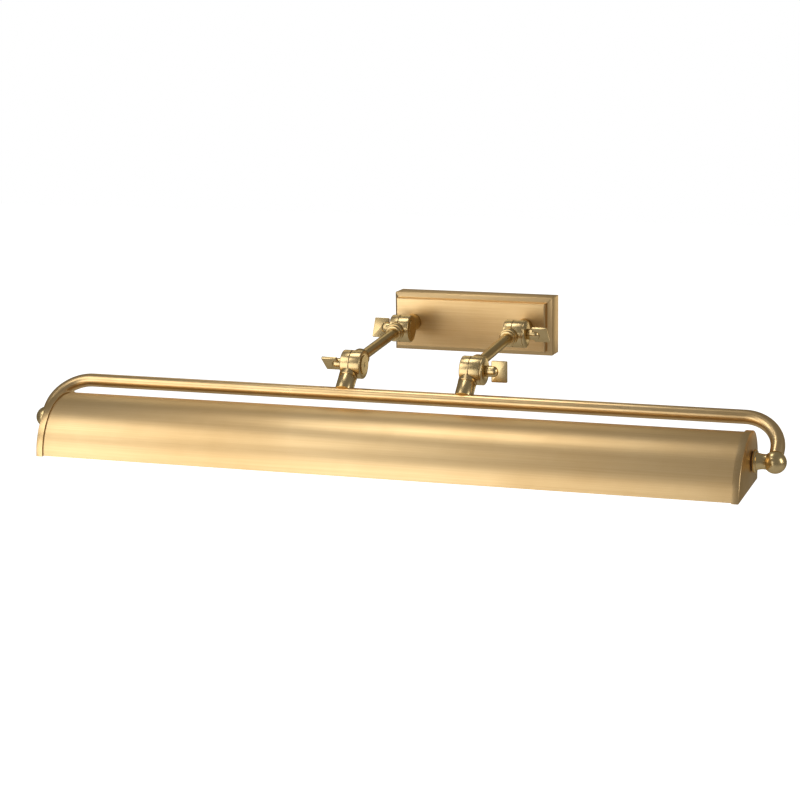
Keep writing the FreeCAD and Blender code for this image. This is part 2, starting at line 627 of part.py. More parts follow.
def end_ball(side):
    """Turned end: ball with a socket for the rail, waisted neck, flange and threaded spindle."""
    start = Vector(side * FLANGE_X, TILT_AXIS.y, TILT_AXIS.z)
    ball_at = BALL_X - FLANGE_X
    ball = BALL_DIAMETER / 2
    neck = NECK_DIAMETER / 2
    flange = FLANGE_DIAMETER / 2
    spindle = SPINDLE_DIAMETER / 2
    inside = FLANGE_X - WEB_INNER + FIBRE_WASHER_THICKNESS + 3 * FACE_GAP + SPINDLE_NUT_THICKNESS + 1.0
    profile = [(-inside, 0), (-inside, spindle), (0, spindle), (0, flange - 0.4), (0.4, flange),
               (FLANGE_THICKNESS - 0.5, flange), (FLANGE_THICKNESS, flange - 0.5)]
    meet = neck + 0.3
    neck_end = ball_at - math.sqrt(ball ** 2 - meet ** 2)
    for i in range(9):
        share = i / 8
        flare = (flange - 2.2 - neck) * (1 - share) ** 2.5 + 0.3 * share ** 4
        profile.append((FLANGE_THICKNESS + (neck_end - FLANGE_THICKNESS) * share, neck + flare))
    first = 180 - math.degrees(math.asin(meet / ball))
    profile += arc_corners(ball_at, ball, first, 0, 20)[1:-1] + [(ball_at + ball, 0)]
    shape = turned(profile, start, X_AXIS * side)
    floor = Vector(side * BALL_X, TILT_AXIS.y, TILT_AXIS.z) - LEG_DIRECTION * BALL_SOCKET_FLOOR
    return shape.cut(rod(floor, -LEG_DIRECTION, RAIL_DIAMETER + 2 * SEAT_GAP, BALL_DIAMETER))


def spindle_washers(side):
    """Fibre washers on the two faces of an end cap."""
    bore = SPINDLE_DIAMETER + 2 * SEAT_GAP
    outer = Vector(side * (SHADE_END + FACE_GAP), TILT_AXIS.y, TILT_AXIS.z)
    inner = Vector(side * (WEB_INNER - FACE_GAP), TILT_AXIS.y, TILT_AXIS.z)
    return [washer(outer, X_AXIS * side, FIBRE_WASHER_DIAMETER, FIBRE_WASHER_THICKNESS, bore),
            washer(inner, X_AXIS * -side, SPINDLE_WASHER_DIAMETER, FIBRE_WASHER_THICKNESS, bore)]


def spindle_nut(side):
    """Nut on a spindle inside its end cap."""
    x = side * (WEB_INNER - 2 * FACE_GAP - FIBRE_WASHER_THICKNESS)
    return hexagon(Vector(x, TILT_AXIS.y, TILT_AXIS.z), X_AXIS * -side, SPINDLE_NUT_ACROSS_FLATS,
                   SPINDLE_NUT_THICKNESS, SPINDLE_DIAMETER + 2 * SEAT_GAP)


# ---------------------------------------------------------------- shade
def section(inset, x, lift):
    """The shade's section, drawn in by inset: front arc, top flat, back arc, back wall, chord."""
    back_y = TILT_AXIS.y + SHADE_BACK_REACH - SHADE_BACK_RADIUS
    front = Vector(x, back_y - SHADE_TOP_FLAT, TILT_AXIS.z + SHADE_RISE - SHADE_FRONT_RADIUS)
    back = Vector(x, back_y, TILT_AXIS.z + SHADE_RISE - SHADE_BACK_RADIUS)
    front_radius = SHADE_FRONT_RADIUS - inset
    back_radius = SHADE_BACK_RADIUS - inset

    def on_arc(centre, radius, angle):
        turn = math.radians(angle)
        return centre + Vector(0, radius * math.cos(turn), radius * math.sin(turn))

    first = 180 - math.degrees(math.asin(lift / front_radius))
    front_arc = Part.Arc(on_arc(front, front_radius, first), on_arc(front, front_radius, (first + 90) / 2),
                         on_arc(front, front_radius, 90))
    back_arc = Part.Arc(on_arc(back, back_radius, 90), on_arc(back, back_radius, 45),
                        on_arc(back, back_radius, 0))
    lip = Vector(x, back_y + back_radius, TILT_AXIS.z - SHADE_BACK_DROP + lift)
    edges = [front_arc.toShape(),
             Part.makeLine(on_arc(front, front_radius, 90), on_arc(back, back_radius, 90)),
             back_arc.toShape(), Part.makeLine(on_arc(back, back_radius, 0), lip),
             Part.makeLine(lip, on_arc(front, front_radius, first))]
    return Part.Face(Part.Wire(edges))


def section_block(inset, lift, x0, x1):
    """Section extruded from x0 to x1."""
    return section(inset, x0, lift).extrude(X_AXIS * (x1 - x0))


def shade_sheet():
    """Curved sheet between the end caps, open below."""
    end = WEB_INNER - FACE_GAP
    inset = CAP_RIM_THICKNESS + FACE_GAP
    sheet = section_block(inset, SHEET_EDGE_LIFT, -end, end)
    hollow = section_block(inset + SHEET_THICKNESS, SHEET_EDGE_LIFT, -end - 1, end + 1)
    sheet = sheet.cut(hollow)
    hollow.translate(Z_AXIS * -3)
    return sheet.cut(hollow)


def end_cap(side):
    """Shallow dish that closes an end: web, rim lapping the sheet and two tapped bosses."""
    face = side * SHADE_END
    cap = section_block(0, 0, face, face - side * CAP_RIM_WIDTH)
    rim = [e for e in cap.Edges if abs(e.BoundBox.XMin - face) < 0.01 and abs(e.BoundBox.XMax - face) < 0.01]
    cap = cap.makeChamfer(CAP_EDGE_CHAMFER, rim)
    web = side * WEB_INNER
    pocket = section_block(CAP_RIM_THICKNESS, 0, web, web - side * CAP_RIM_WIDTH)
    cap = cap.cut(pocket)
    pocket.translate(Z_AXIS * -3)
    cap = cap.cut(pocket)
    for y in TRAY_SCREW_Y:
        start = Vector(web + side * 0.5, y, TRAY_SCREW_Z)
        cap = cap.fuse(rod(start, X_AXIS * -side, CAP_BOSS_DIAMETER, CAP_BOSS_LENGTH + 0.5))
        hole = Vector(web - side * CAP_BOSS_LENGTH, y, TRAY_SCREW_Z)
        cap = cap.cut(rod(hole, X_AXIS * side, TRAY_SCREW_DIAMETER + 2 * SEAT_GAP, CAP_BOSS_LENGTH))
    hole = Vector(face + side, TILT_AXIS.y, TILT_AXIS.z)
    return cap.cut(rod(hole, X_AXIS * -side, SPINDLE_DIAMETER + 2 * RUNNING_GAP, CAP_RIM_WIDTH + 2))


# ---------------------------------------------------------------- wiring tray, lampholders and lamps
def wiring_tray():
    """Folded channel that ties the end caps together and carries the lampholders."""
    floor = TRAY_TOP - TRAY_THICKNESS
    tray = box(-TRAY_END, TRAY_END, TRAY_Y0, TRAY_Y1, floor, TRAY_TOP)
    side_z = TRAY_TOP - TRAY_SIDE_HEIGHT
    tray = tray.fuse([box(-TRAY_END, TRAY_END, TRAY_Y0, TRAY_Y0 + TRAY_THICKNESS, side_z, TRAY_TOP),
                      box(-TRAY_END, TRAY_END, TRAY_Y1 - TRAY_THICKNESS, TRAY_Y1, side_z, TRAY_TOP)])
    for side in SIDES.values():
        x = side * TRAY_END
        tray = tray.fuse(box(x, x - side * TRAY_THICKNESS, TRAY_Y0, TRAY_Y1,
                             TRAY_TOP - TRAY_FLANGE_HEIGHT, TRAY_TOP))
        for y in TRAY_SCREW_Y:
            start = Vector(x + side, y, TRAY_SCREW_Z)
            hole = TRAY_SCREW_DIAMETER + 2 * SEAT_GAP
            tray = tray.cut(rod(start, X_AXIS * -side, hole, TRAY_THICKNESS + 2))
    return tray.removeSplitter()


def end_cap_screw(side, y):
    """Small screw from inside the tray's flange into an end cap's boss."""
    start = Vector(side * (TRAY_END - TRAY_THICKNESS - SEAT_GAP), y, TRAY_SCREW_Z)
    return pan_screw(start, X_AXIS * side, TRAY_SCREW_DIAMETER, TRAY_SCREW_DIAMETER * 1.9, 1.8,
                     TRAY_THICKNESS + CAP_BOSS_LENGTH - 0.5)


def holder_back(centre):
    """X of a lampholder's back, and the direction in which its lamp points."""
    way = 1 if centre < 0 else -1
    return centre - way * (HOLDER_LENGTH + LAMP_LENGTH) / 2, way


def holder_bracket(centre):
    """Angle strip under the tray with a leg down behind one lampholder."""
    back, way = holder_back(centre)
    half = BRACKET_STRIP_WIDTH / 2
    top = TRAY_TOP - TRAY_THICKNESS - SEAT_GAP
    face = back - way * SEAT_GAP
    leg = box(face, face - way * BRACKET_STRIP, LAMP_Y - half, LAMP_Y + half, LAMP_Z - half, top)
    foot = box(face, face - way * BRACKET_FOOT_LENGTH, LAMP_Y - half, LAMP_Y + half,
               top - BRACKET_STRIP, top)
    bracket = leg.fuse(foot)
    start = Vector(face + way, LAMP_Y, LAMP_Z)
    return bracket.cut(rod(start, X_AXIS * -way, HOLDER_NIPPLE_DIAMETER + 2 * SEAT_GAP, BRACKET_STRIP + 2))


def lampholder(centre):
    """Stepped lampholder: socket for the lamp's base in front, hollow nipple spun over behind."""
    back, way = holder_back(centre)
    wide = HOLDER_DIAMETER / 2
    narrow = HOLDER_BACK_DIAMETER / 2
    socket = HOLDER_BORE / 2
    nipple = HOLDER_NIPPLE_DIAMETER / 2
    wire = HOLDER_NIPPLE_BORE / 2
    floor = HOLDER_LENGTH - HOLDER_BORE_DEPTH
    lip_at = -(BRACKET_STRIP + 2 * SEAT_GAP)
    profile = [(lip_at - HOLDER_LIP, wire), (lip_at - HOLDER_LIP, nipple + 0.4),
               (lip_at, nipple + HOLDER_LIP), (lip_at, nipple), (0, nipple),
               (0, narrow - 0.6), (0.6, narrow), (HOLDER_STEP, narrow),
               (HOLDER_STEP + 1.5, wide), (HOLDER_LENGTH - 0.8, wide), (HOLDER_LENGTH, wide - 0.8),
               (HOLDER_LENGTH, socket), (floor, socket), (floor, 0), (floor - 4, 0), (floor - 4, wire)]
    return turned(profile, Vector(back, LAMP_Y, LAMP_Z), X_AXIS * way)


def lamp_glass(centre):
    """Tubular lamp glass with a rounded end, open at its neck."""
    back, way = holder_back(centre)
    outer = LAMP_DIAMETER / 2
    neck = LAMP_BASE_DIAMETER / 2
    wall = LAMP_GLASS_WALL
    nose = outer * 0.7
    straight = LAMP_LENGTH - nose
    turns = [math.radians(90 * i / 6) for i in range(7)]
    profile = [(0, neck - wall), (0, neck), (LAMP_SHOULDER, outer)]
    profile += [(straight + nose * math.sin(t), outer * math.cos(t)) for t in turns[:-1]]
    profile += [(LAMP_LENGTH, 0), (LAMP_LENGTH - wall, 0)]
    profile += [(straight + (nose - wall) * math.sin(t), (outer - wall) * math.cos(t))
                for t in reversed(turns[:-1])]
    profile.append((LAMP_SHOULDER, outer - wall))
    return turned(profile, Vector(back + way * (HOLDER_LENGTH + FACE_GAP), LAMP_Y, LAMP_Z), X_AXIS * way)


def lamp_base(centre):
    """Screw base of one lamp, its tip on the socket's floor."""
    back, way = holder_back(centre)
    mouth = Vector(back + way * HOLDER_LENGTH, LAMP_Y, LAMP_Z)
    radius = LAMP_BASE_DIAMETER / 2
    tip = HOLDER_BORE_DEPTH - SEAT_GAP
    profile = [(-tip, 0), (-tip, 2.4), (-LAMP_BASE_LENGTH + 0.6, 3.4), (-LAMP_BASE_LENGTH + 2.6, radius),
               (0, radius), (0, 0)]
    return turned(profile, mouth, X_AXIS * way)


# ---------------------------------------------------------------- every piece
add("wall_plate", wall_plate())
add("wall_bracket", wall_bracket())
add("inlet_grommet", inlet_grommet())
add("cover_screws", *[cover_screw(s) for s in SIDES.values()])
add("terminal_block", terminal_block())
add("terminal_screws", *[terminal_screw(x, z) for x, z in terminal_places()])
add("earth_terminal", earth_terminal())

nut_y = -PANEL_FRONT + PLATE_WALL + SEAT_GAP
stud_bore = STUD_DIAMETER + 2 * SEAT_GAP
WALL_STUD_END = BOSS_LENGTH + PLATE_WALL + BOSS_WASHER_THICKNESS + BOSS_NUT_THICKNESS + 1.5
STEM_STUD_END = STEM_LENGTH - RAIL_DIAMETER / 2 + RAIL_WALL
boss_washers = []
boss_nuts = []
for name, side in SIDES.items():
    on_wall_eye = name == "left"
    add(name + "_wall_eye", eye(side, WALL_KNUCKLE, Y_AXIS, "right", stud_stem(WALL_STUD_END), on_wall_eye))
    add(name + "_boss_sleeve",
        sleeve(side, WALL_KNUCKLE, Y_AXIS, COLLAR_REACH + SEAT_GAP, BOSS_LENGTH - SEAT_GAP))
    add(name + "_arm_rear_eye",
        eye(side, WALL_KNUCKLE, ARM_DIRECTION, "left", arm_stem(ARM_REAR_COLLAR_REACH), not on_wall_eye))
    add(name + "_arm_tube", arm_tube(side))
    add(name + "_arm_front_eye",
        eye(side, FRONT_KNUCKLE, -ARM_DIRECTION, "right", arm_stem(ARM_FRONT_COLLAR_REACH), on_wall_eye))
    add(name + "_stem_eye",
        eye(side, FRONT_KNUCKLE, STEM_DIRECTION, "left", stud_stem(STEM_STUD_END), not on_wall_eye))
    add(name + "_stem_ferrule", stem_ferrule(side))
    add(name + "_end_ball", end_ball(side))
    add(name + "_end_cap", end_cap(side))
    nut_at = Vector(stem_x(side), nut_y, WALL_KNUCKLE.z)
    boss_washers.append(washer(nut_at, Y_AXIS, BOSS_WASHER_DIAMETER, BOSS_WASHER_THICKNESS, stud_bore))
    nut_at = nut_at + Y_AXIS * (BOSS_WASHER_THICKNESS + SEAT_GAP)
    boss_nuts.append(hexagon(nut_at, Y_AXIS, BOSS_NUT_ACROSS_FLATS, BOSS_NUT_THICKNESS, stud_bore))
add("boss_washers", *boss_washers)
add("boss_nuts", *boss_nuts)
add("wall_friction_washers", *[friction_washer(s, WALL_KNUCKLE) for s in SIDES.values()])
add("front_friction_washers", *[friction_washer(s, FRONT_KNUCKLE) for s in SIDES.values()])
add("right_wall_cup_washer", cup_washer(1, WALL_KNUCKLE))
add("right_front_cup_washer", cup_washer(1, FRONT_KNUCKLE))

KEYS = [("left_wall", WALL_KNUCKLE, LEFT_WALL_KEY_TURN), ("right_wall", WALL_KNUCKLE, RIGHT_WALL_KEY_TURN),
        ("left_front", FRONT_KNUCKLE, LEFT_FRONT_KEY_TURN),
        ("right_front", FRONT_KNUCKLE, RIGHT_FRONT_KEY_TURN)]
for name, centre, turn in KEYS:
    key_half = name.split("_")[0]
    head_half = "right" if key_half == "left" else "left"
    side = SIDES[key_half]
    add(name + "_pivot_screw", pivot_screw(side, centre, head_half, key_half))
    hub, blade = key_pieces(side, centre, key_half, turn)
    add(name + "_key_hub", hub)
    add(name + "_key_blade", blade)

add("rail_tube", rail_tube())
add("pivot_washers", *[w for s in SIDES.values() for w in spindle_washers(s)])
add("pivot_nuts", *[spindle_nut(s) for s in SIDES.values()])
add("shade_sheet", shade_sheet())
add("wiring_tray", wiring_tray())
add("end_cap_screws", *[end_cap_screw(s, y) for s in SIDES.values() for y in TRAY_SCREW_Y])
add("holder_brackets", *[holder_bracket(c) for c in LAMP_CENTRES])
add("lamp_bases", *[lamp_base(c) for c in LAMP_CENTRES])
for number, centre in enumerate(LAMP_CENTRES, 1):
    add("lampholder_%d" % number, lampholder(centre))
    add("lamp_glass_%d" % number, lamp_glass(centre))

os.makedirs("parts", exist_ok=True)
for name, shape in parts.items():
    shape.exportStep("parts/" + name + ".step")
    sound = all(s.isValid() and s.Volume > 0 for s in shape.Solids)
    print(name, len(shape.Solids), round(shape.Volume, 1), "" if sound and shape.Solids else "BAD")
print(len(parts), "nodes")
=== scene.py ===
"""Picture light in aged brass: the looks of every visible piece, laid out as an add-on."""
import json
import math

import bmesh
import bpy
from mathutils import Matrix, Vector


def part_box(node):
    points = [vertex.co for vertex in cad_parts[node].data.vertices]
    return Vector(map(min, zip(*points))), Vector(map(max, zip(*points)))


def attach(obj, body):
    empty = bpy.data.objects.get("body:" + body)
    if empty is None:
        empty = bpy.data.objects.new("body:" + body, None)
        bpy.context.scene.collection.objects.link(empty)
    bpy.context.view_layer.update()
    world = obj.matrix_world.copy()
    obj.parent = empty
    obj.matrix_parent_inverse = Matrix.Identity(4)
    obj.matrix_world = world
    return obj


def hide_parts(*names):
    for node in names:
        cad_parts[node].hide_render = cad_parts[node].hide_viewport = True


bl_info = {
    "name": "Picture Light",
    "version": (1, 0, 0),
    "blender": (4, 5, 0),
    "location": "View3D > Sidebar > Picture Light",
    "description": "Builds a brass picture light on swivel arms, piece by piece",
    "category": "Add Mesh",
}

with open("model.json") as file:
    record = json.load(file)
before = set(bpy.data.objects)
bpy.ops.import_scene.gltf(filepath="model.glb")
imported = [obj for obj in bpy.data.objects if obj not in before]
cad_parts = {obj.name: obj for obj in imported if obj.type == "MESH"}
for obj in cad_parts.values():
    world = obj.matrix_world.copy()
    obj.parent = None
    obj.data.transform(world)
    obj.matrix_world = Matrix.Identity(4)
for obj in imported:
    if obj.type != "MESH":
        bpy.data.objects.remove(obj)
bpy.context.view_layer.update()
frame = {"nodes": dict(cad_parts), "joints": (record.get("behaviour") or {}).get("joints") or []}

MM = 0.001
LEFT, RIGHT = -1, 1
SIDES = {"left": LEFT, "right": RIGHT}
X_AXIS = Vector((1, 0, 0))
Y_AXIS = Vector((0, 1, 0))
Z_AXIS = Vector((0, 0, 1))

PIVOT = {j["name"]: Vector(j["pos_m"]) for j in frame["joints"]}
WALL_KNUCKLE = Vector((0, PIVOT["arm_lift"].y, PIVOT["arm_lift"].z))
FRONT_KNUCKLE = Vector((0, PIVOT["rail_swing"].y, PIVOT["rail_swing"].z))
TILT_AXIS = Vector((0, PIVOT["shade_tilt"].y, PIVOT["shade_tilt"].z))
ARM_DIRECTION = (FRONT_KNUCKLE - WALL_KNUCKLE).normalized()
ARM_LENGTH = (FRONT_KNUCKLE - WALL_KNUCKLE).length
RAIL_RADIUS = 6.4 * MM
RAIL_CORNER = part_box("rail_tube")[1]
RAIL_CENTRE = Vector((0, RAIL_CORNER.y - RAIL_RADIUS, RAIL_CORNER.z - RAIL_RADIUS))
STEM_DIRECTION = (RAIL_CENTRE - FRONT_KNUCKLE).normalized()
STEM_LENGTH = (RAIL_CENTRE - FRONT_KNUCKLE).length
LEG_DIRECTION = (TILT_AXIS - RAIL_CENTRE).normalized()
LEG_LENGTH = (TILT_AXIS - RAIL_CENTRE).length
PRESS_FIT = 0.05 * MM       # radial clearance of seated pieces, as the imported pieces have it
RUNNING_FIT = 0.08 * MM     # radial clearance of pieces that turn or slide


# ---------------------------------------------------------------- sizes and colours
def size(name, millimetres, description):
    """A length property, given in millimetres and kept in metres."""
    return bpy.props.FloatProperty(name=name, description=description, default=millimetres * MM,
                                   min=0.0, precision=5, subtype="DISTANCE", unit="LENGTH")


def colour(name, red, green, blue, description):
    """A linear colour property."""
    return bpy.props.FloatVectorProperty(name=name, description=description, size=3, subtype="COLOR",
                                         default=(red, green, blue), min=0.0, max=1.0)


class PictureLightPlate(bpy.types.PropertyGroup):
    """Sizes of the wall plate and of the bosses that stand on it."""
    side_depth: size("Side depth", 22.5, "Depth of the plate's plain side walls")
    bevel_width: size("Bevel width", 4.2, "How far the bevel draws in")
    bevel_depth: size("Bevel depth", 3.0, "How far the bevel stands forward")
    shelf: size("Shelf", 0.6, "Flat step between the bevel and the raised panel")
    panel_rise: size("Panel rise", 8.5, "Height of the raised panel's side")
    panel_round: size("Panel rounding", 1.2, "Rounding of the panel's front edge")
    edge_round: size("Edge rounding", 0.4, "Rounding of the other edges")
    wall: size("Wall", 1.5, "Thickness of the cover's wall")
    boss_length: size("Boss length", 40.4, "From the panel to the wall knuckles' axis")


class PictureLightKnuckle(bpy.types.PropertyGroup):
    """Sizes of the knuckles, their screws and the stems that leave them."""
    spacing: size("Knuckle spacing", 117.0, "Between the two knuckles' mating planes")
    diameter: size("Disc diameter", 26.8, "Diameter of the knuckle discs")
    left_half: size("Left half", 8.3, "Thickness of the left-hand disc")
    right_half: size("Right half", 10.7, "Thickness of the right-hand disc")
    gap: size("Disc gap", 0.6, "Between the two discs")
    washer: size("Friction washer", 0.4, "Thickness of the friction washer")
    chamfer: size("Rim chamfer", 0.8, "Chamfer of the discs' outer rims")
    stem_shift: size("Stem shift", 1.2, "Stems stand this far left of the mating plane")
    collar: size("Collar diameter", 17.5, "Diameter of the collars")
    collar_reach: size("Collar reach", 16.1, "From the knuckle's axis to the collar's end")
    groove: size("Collar groove", 0.75, "Depth of the groove at the collar's end")
    sleeve: size("Sleeve diameter", 17.2, "Diameter of the sleeves and ferrules")
    stud: size("Stud diameter", 8.0, "Diameter of the studs")
    pivot: size("Pivot diameter", 6.0, "Diameter of the pivot screws")
    head: size("Head diameter", 12.5, "Diameter of the domed screw heads")
    head_height: size("Head height", 2.6, "Height of the domed screw heads")
    recess: size("Recess diameter", 17.2, "Dished face round a screw head")
    recess_depth: size("Recess depth", 1.4, "Depth of the dished face")
    cup: size("Cup washer", 3.0, "Thickness of the convex cup washers")
    relief: size("Relief", 0.5, "Clearance of a collar round the other disc")


class PictureLightKey(bpy.types.PropertyGroup):
    """Sizes of the thumb keys."""
    hub: size("Hub diameter", 10.5, "Diameter of a key's hub")
    hub_length: size("Hub length", 12.0, "Length of a key's hub with its nose")
    nose: size("Nose length", 4.6, "Length of the rounded nose")
    blade_start: size("Blade start", 5.0, "From the seat to the blade")
    blade_length: size("Blade length", 15.0, "Length of the blade")
    blade_span: size("Blade span", 20.0, "Height of the blade")
    blade_thickness: size("Blade thickness", 2.6, "Thickness of the blade")


class PictureLightArm(bpy.types.PropertyGroup):
    """Sizes of the arms."""
    tube: size("Tube diameter", 10.0, "Outer diameter of the arm tubes")
    bore: size("Tube bore", 7.0, "Inner diameter of the arm tubes")
    seat: size("Tube seat", 5.0, "How deep a tube sits in its eye")
    rear_reach: size("Rear collar reach", 19.0, "From a wall knuckle's axis to its collar's end")
    front_reach: size("Front collar reach", 26.0, "From a front knuckle's axis to its collar's end")
    step: size("Step diameter", 15.0, "Diameter of the step beyond the collar")
    step_length: size("Step length", 3.0, "Length of the step")


class PictureLightRail(bpy.types.PropertyGroup):
    """Sizes of the rail, its ferrules and its turned ends."""
    diameter: size("Rail diameter", 12.8, "Outer diameter of the rail")
    bend: size("Bend radius", 33.3, "Centreline radius of the bends")
    ferrule_lap: size("Ferrule lap", 3.2, "From the rail's centreline to the ferrule's end")
    ball: size("Ball diameter", 20.0, "Diameter of the end balls")
    standoff: size("Ball standoff", 19.5, "From an end cap's face to a ball's centre")
    neck: size("Neck diameter", 13.2, "Narrowest diameter between ball and flange")
    flange: size("Flange diameter", 20.2, "Diameter of the flanges")
    flange_thickness: size("Flange thickness", 2.8, "Thickness of the flanges")
    spindle: size("Spindle diameter", 8.0, "Diameter of the threaded spindles")


class PictureLightShade(bpy.types.PropertyGroup):
    """Sizes of the shade, measured from its tilt axis."""
    rise: size("Rise", 27.0, "From the tilt axis to the crown")
    front_radius: size("Front radius", 51.9, "Radius of the front curve")
    back_radius: size("Back radius", 27.0, "Radius of the back curve")
    top_flat: size("Top flat", 6.0, "Flat between the two curves")
    back_reach: size("Back reach", 24.5, "From the tilt axis to the back wall")
    back_drop: size("Back drop", 21.1, "From the tilt axis to the back lip")
    sheet: size("Sheet", 1.0, "Thickness of the sheet")
    lip_lift: size("Lip lift", 0.5, "How far the sheet's lips stay inside the caps")
    web: size("Cap web", 2.2, "Thickness of an end cap's face")
    rim_width: size("Cap rim width", 6.4, "Width of an end cap's rim")
    rim: size("Cap rim thickness", 1.4, "Thickness of an end cap's rim")
    cap_edge: size("Cap edge", 0.6, "Chamfer round an end cap's face")


class PictureLightFinish(bpy.types.PropertyGroup):
    """Colours of the finishes."""
    brass_light: colour("Brass, light", 0.84, 0.62, 0.33, "Rubbed brass")
    brass_dark: colour("Brass, dark", 0.52, 0.30, 0.10, "Aged brass in the grain")
    cast_light: colour("Knuckle brass, light", 0.74, 0.55, 0.27, "Rubbed brass of turned pieces")
    cast_dark: colour("Knuckle brass, dark", 0.36, 0.24, 0.10, "Aged brass of turned pieces")
    steel: colour("Zinc plate", 0.56, 0.57, 0.58, "Zinc-plated steel")
    enamel: colour("Enamel", 0.80, 0.79, 0.75, "White enamel of the wiring tray")
    fibre: colour("Fibre", 0.16, 0.07, 0.03, "Vulcanised fibre washers")
    holder: colour("Lampholder", 0.70, 0.67, 0.60, "Moulded lampholders")
    rubber: colour("Rubber", 0.02, 0.02, 0.02, "Cable grommet")


def settings_of(name):
    """One group of this scene's settings."""
    return getattr(bpy.context.scene, "picture_light_" + name)


# ---------------------------------------------------------------- finishes
# Of each metal: its colours, grain scales along x, y and z, grain, patina scale, patina, smoothest and
# roughest, bump. The grain runs along the axis with the smallest scale.
METALS = {
    "plate_brass": ("brass", (14, 1400, 1400), 0.55, 9, 0.30, 0.30, 0.44, 0.20),
    "shade_brass": ("brass", (7, 1100, 1100), 0.45, 7, 0.30, 0.34, 0.48, 0.15),
    "rail_brass": ("brass", (30, 900, 900), 0.40, 16, 0.35, 0.24, 0.38, 0.10),
    "cap_brass": ("brass", (900, 900, 30), 0.45, 25, 0.35, 0.24, 0.40, 0.15),
    "arm_brass": ("cast", (900, 30, 900), 0.40, 16, 0.35, 0.24, 0.38, 0.10),
    "turned_brass": ("cast", (900, 900, 900), 0.15, 35, 0.25, 0.25, 0.34, 0.01),
    "zinc_steel": ("steel", (700, 700, 700), 0.4, 40, 0.4, 0.28, 0.45, 0.1),
    "lamp_base_metal": ("base", (900, 900, 900), 0.3, 60, 0.3, 0.2, 0.35, 0.1),
}
# Of each non-metal: its colour, smoothest and bump.
MOULDED = {
    "vulcanised_fibre": ("fibre", 0.55, 0.2),
    "white_enamel": ("enamel", 0.22, 0.05),
    "terminal_moulding": ("enamel", 0.4, 0.1),
    "black_rubber": ("rubber", 0.6, 0.2),
    "lampholder_moulding": ("holder", 0.38, 0.15),
}
LAMP_BASE_LIGHT, LAMP_BASE_DARK = (0.7, 0.7, 0.68), (0.45, 0.45, 0.44)
STEEL_SHADE, MOULDED_SHADE = 0.6, 0.82
MOULDED_GRAIN = (1500, 1500, 1500), 0.3, 30, 0.35
MOULDED_SPREAD = 0.12


def node(tree, kind, inputs=None, **properties):
    """Add one shader or group node and set its properties and inputs."""
    made = tree.nodes.new(kind if kind.startswith("NodeGroup") else "ShaderNode" + kind)
    for key, value in properties.items():
        setattr(made, key, value)
    feed(tree, made, inputs or {})
    return made


def feed(tree, made, inputs):
    """Set each input to a value, or link it to a socket or to a node's first output."""
    for key, value in inputs.items():
        if isinstance(value, bpy.types.Node):
            value = value.outputs[0]
        if isinstance(value, bpy.types.NodeSocket):
            tree.links.new(value, made.inputs[key])
        else:
            made.inputs[key].default_value = value


def satin_group():
    """Grain and patina of satin metal: colour, roughness and grain height."""
    name = "satin_metal"
    if name in bpy.data.node_groups:
        return bpy.data.node_groups[name]
    group = bpy.data.node_groups.new(name, "ShaderNodeTree")
    sockets = (("INPUT", "Vector", ("Vector", "Grain Scale")), ("INPUT", "Color", ("Light", "Dark")),
               ("INPUT", "Float", ("Grain", "Patina Scale", "Patina", "Smooth", "Rough")),
               ("OUTPUT", "Color", ("Color",)), ("OUTPUT", "Float", ("Roughness", "Height")))
    for way, kind, labels in sockets:
        for label in labels:
            group.interface.new_socket(name=label, in_out=way, socket_type="NodeSocket" + kind)
    enter = node(group, "NodeGroupInput").outputs
    stretch = node(group, "VectorMath", {0: enter["Vector"], 1: enter["Grain Scale"]},
                   operation="MULTIPLY")
    grain = node(group, "TexNoise", {"Vector": stretch, "Scale": 1.0, "Detail": 3.0, "Roughness": 0.6})
    patina = node(group, "TexNoise", {"Vector": enter["Vector"], "Scale": enter["Patina Scale"],
                                                "Detail": 5.0, "Roughness": 0.55})
    spread = node(group, "MapRange", {"Value": patina, "From Min": 0.35, "From Max": 0.7})
    fine = node(group, "Math", {0: grain, 1: enter["Grain"]}, operation="MULTIPLY")
    broad = node(group, "Math", {0: spread, 1: enter["Patina"]}, operation="MULTIPLY")
    total = node(group, "Math", {0: fine, 1: broad}, operation="ADD", use_clamp=True)
    mix = node(group, "Mix", {"Factor": total, "A": enter["Light"], "B": enter["Dark"]},
               data_type="RGBA")
    rough = node(group, "MapRange",
                 {"Value": total, "To Min": enter["Smooth"], "To Max": enter["Rough"]})
    node(group, "NodeGroupOutput",
         {"Color": mix.outputs["Result"], "Roughness": rough, "Height": grain})
    return group


def material(name):
    """This scene's own material of that name, and its Principled shader while it is new."""
    name += "_finish"
    if name in bpy.data.materials:
        return bpy.data.materials[name], None
    made = bpy.data.materials.new(name)
    made.use_nodes = True
    return made, made.node_tree.nodes["Principled BSDF"]


def satin(name, light, dark, grain_scale, grain, patina_scale, patina, smooth, rough, bump, metallic):
    """Grained and aged surface, of metal or moulded."""
    made, shader = material(name)
    if shader is None:
        return made
    tree = made.node_tree
    place = node(tree, "TexCoord")
    surface = node(tree, "Group", node_tree=satin_group())
    feed(tree, surface, {"Vector": place.outputs["Object"], "Light": (*light, 1), "Dark": (*dark, 1),
                         "Grain Scale": grain_scale, "Grain": grain, "Patina Scale": patina_scale,
                         "Patina": patina, "Smooth": smooth, "Rough": rough})
    raised = node(tree, "Bump",
                  {"Strength": bump, "Distance": 0.1 * MM, "Height": surface.outputs["Height"]})
    feed(tree, shader, {"Base Color": surface.outputs["Color"], "Normal": raised, "Metallic": metallic,
                        "Roughness": surface.outputs["Roughness"]})
    if metallic:
        shader.inputs["Specular Tint"].default_value = (*(math.sqrt(c) for c in light), 1)
    return made


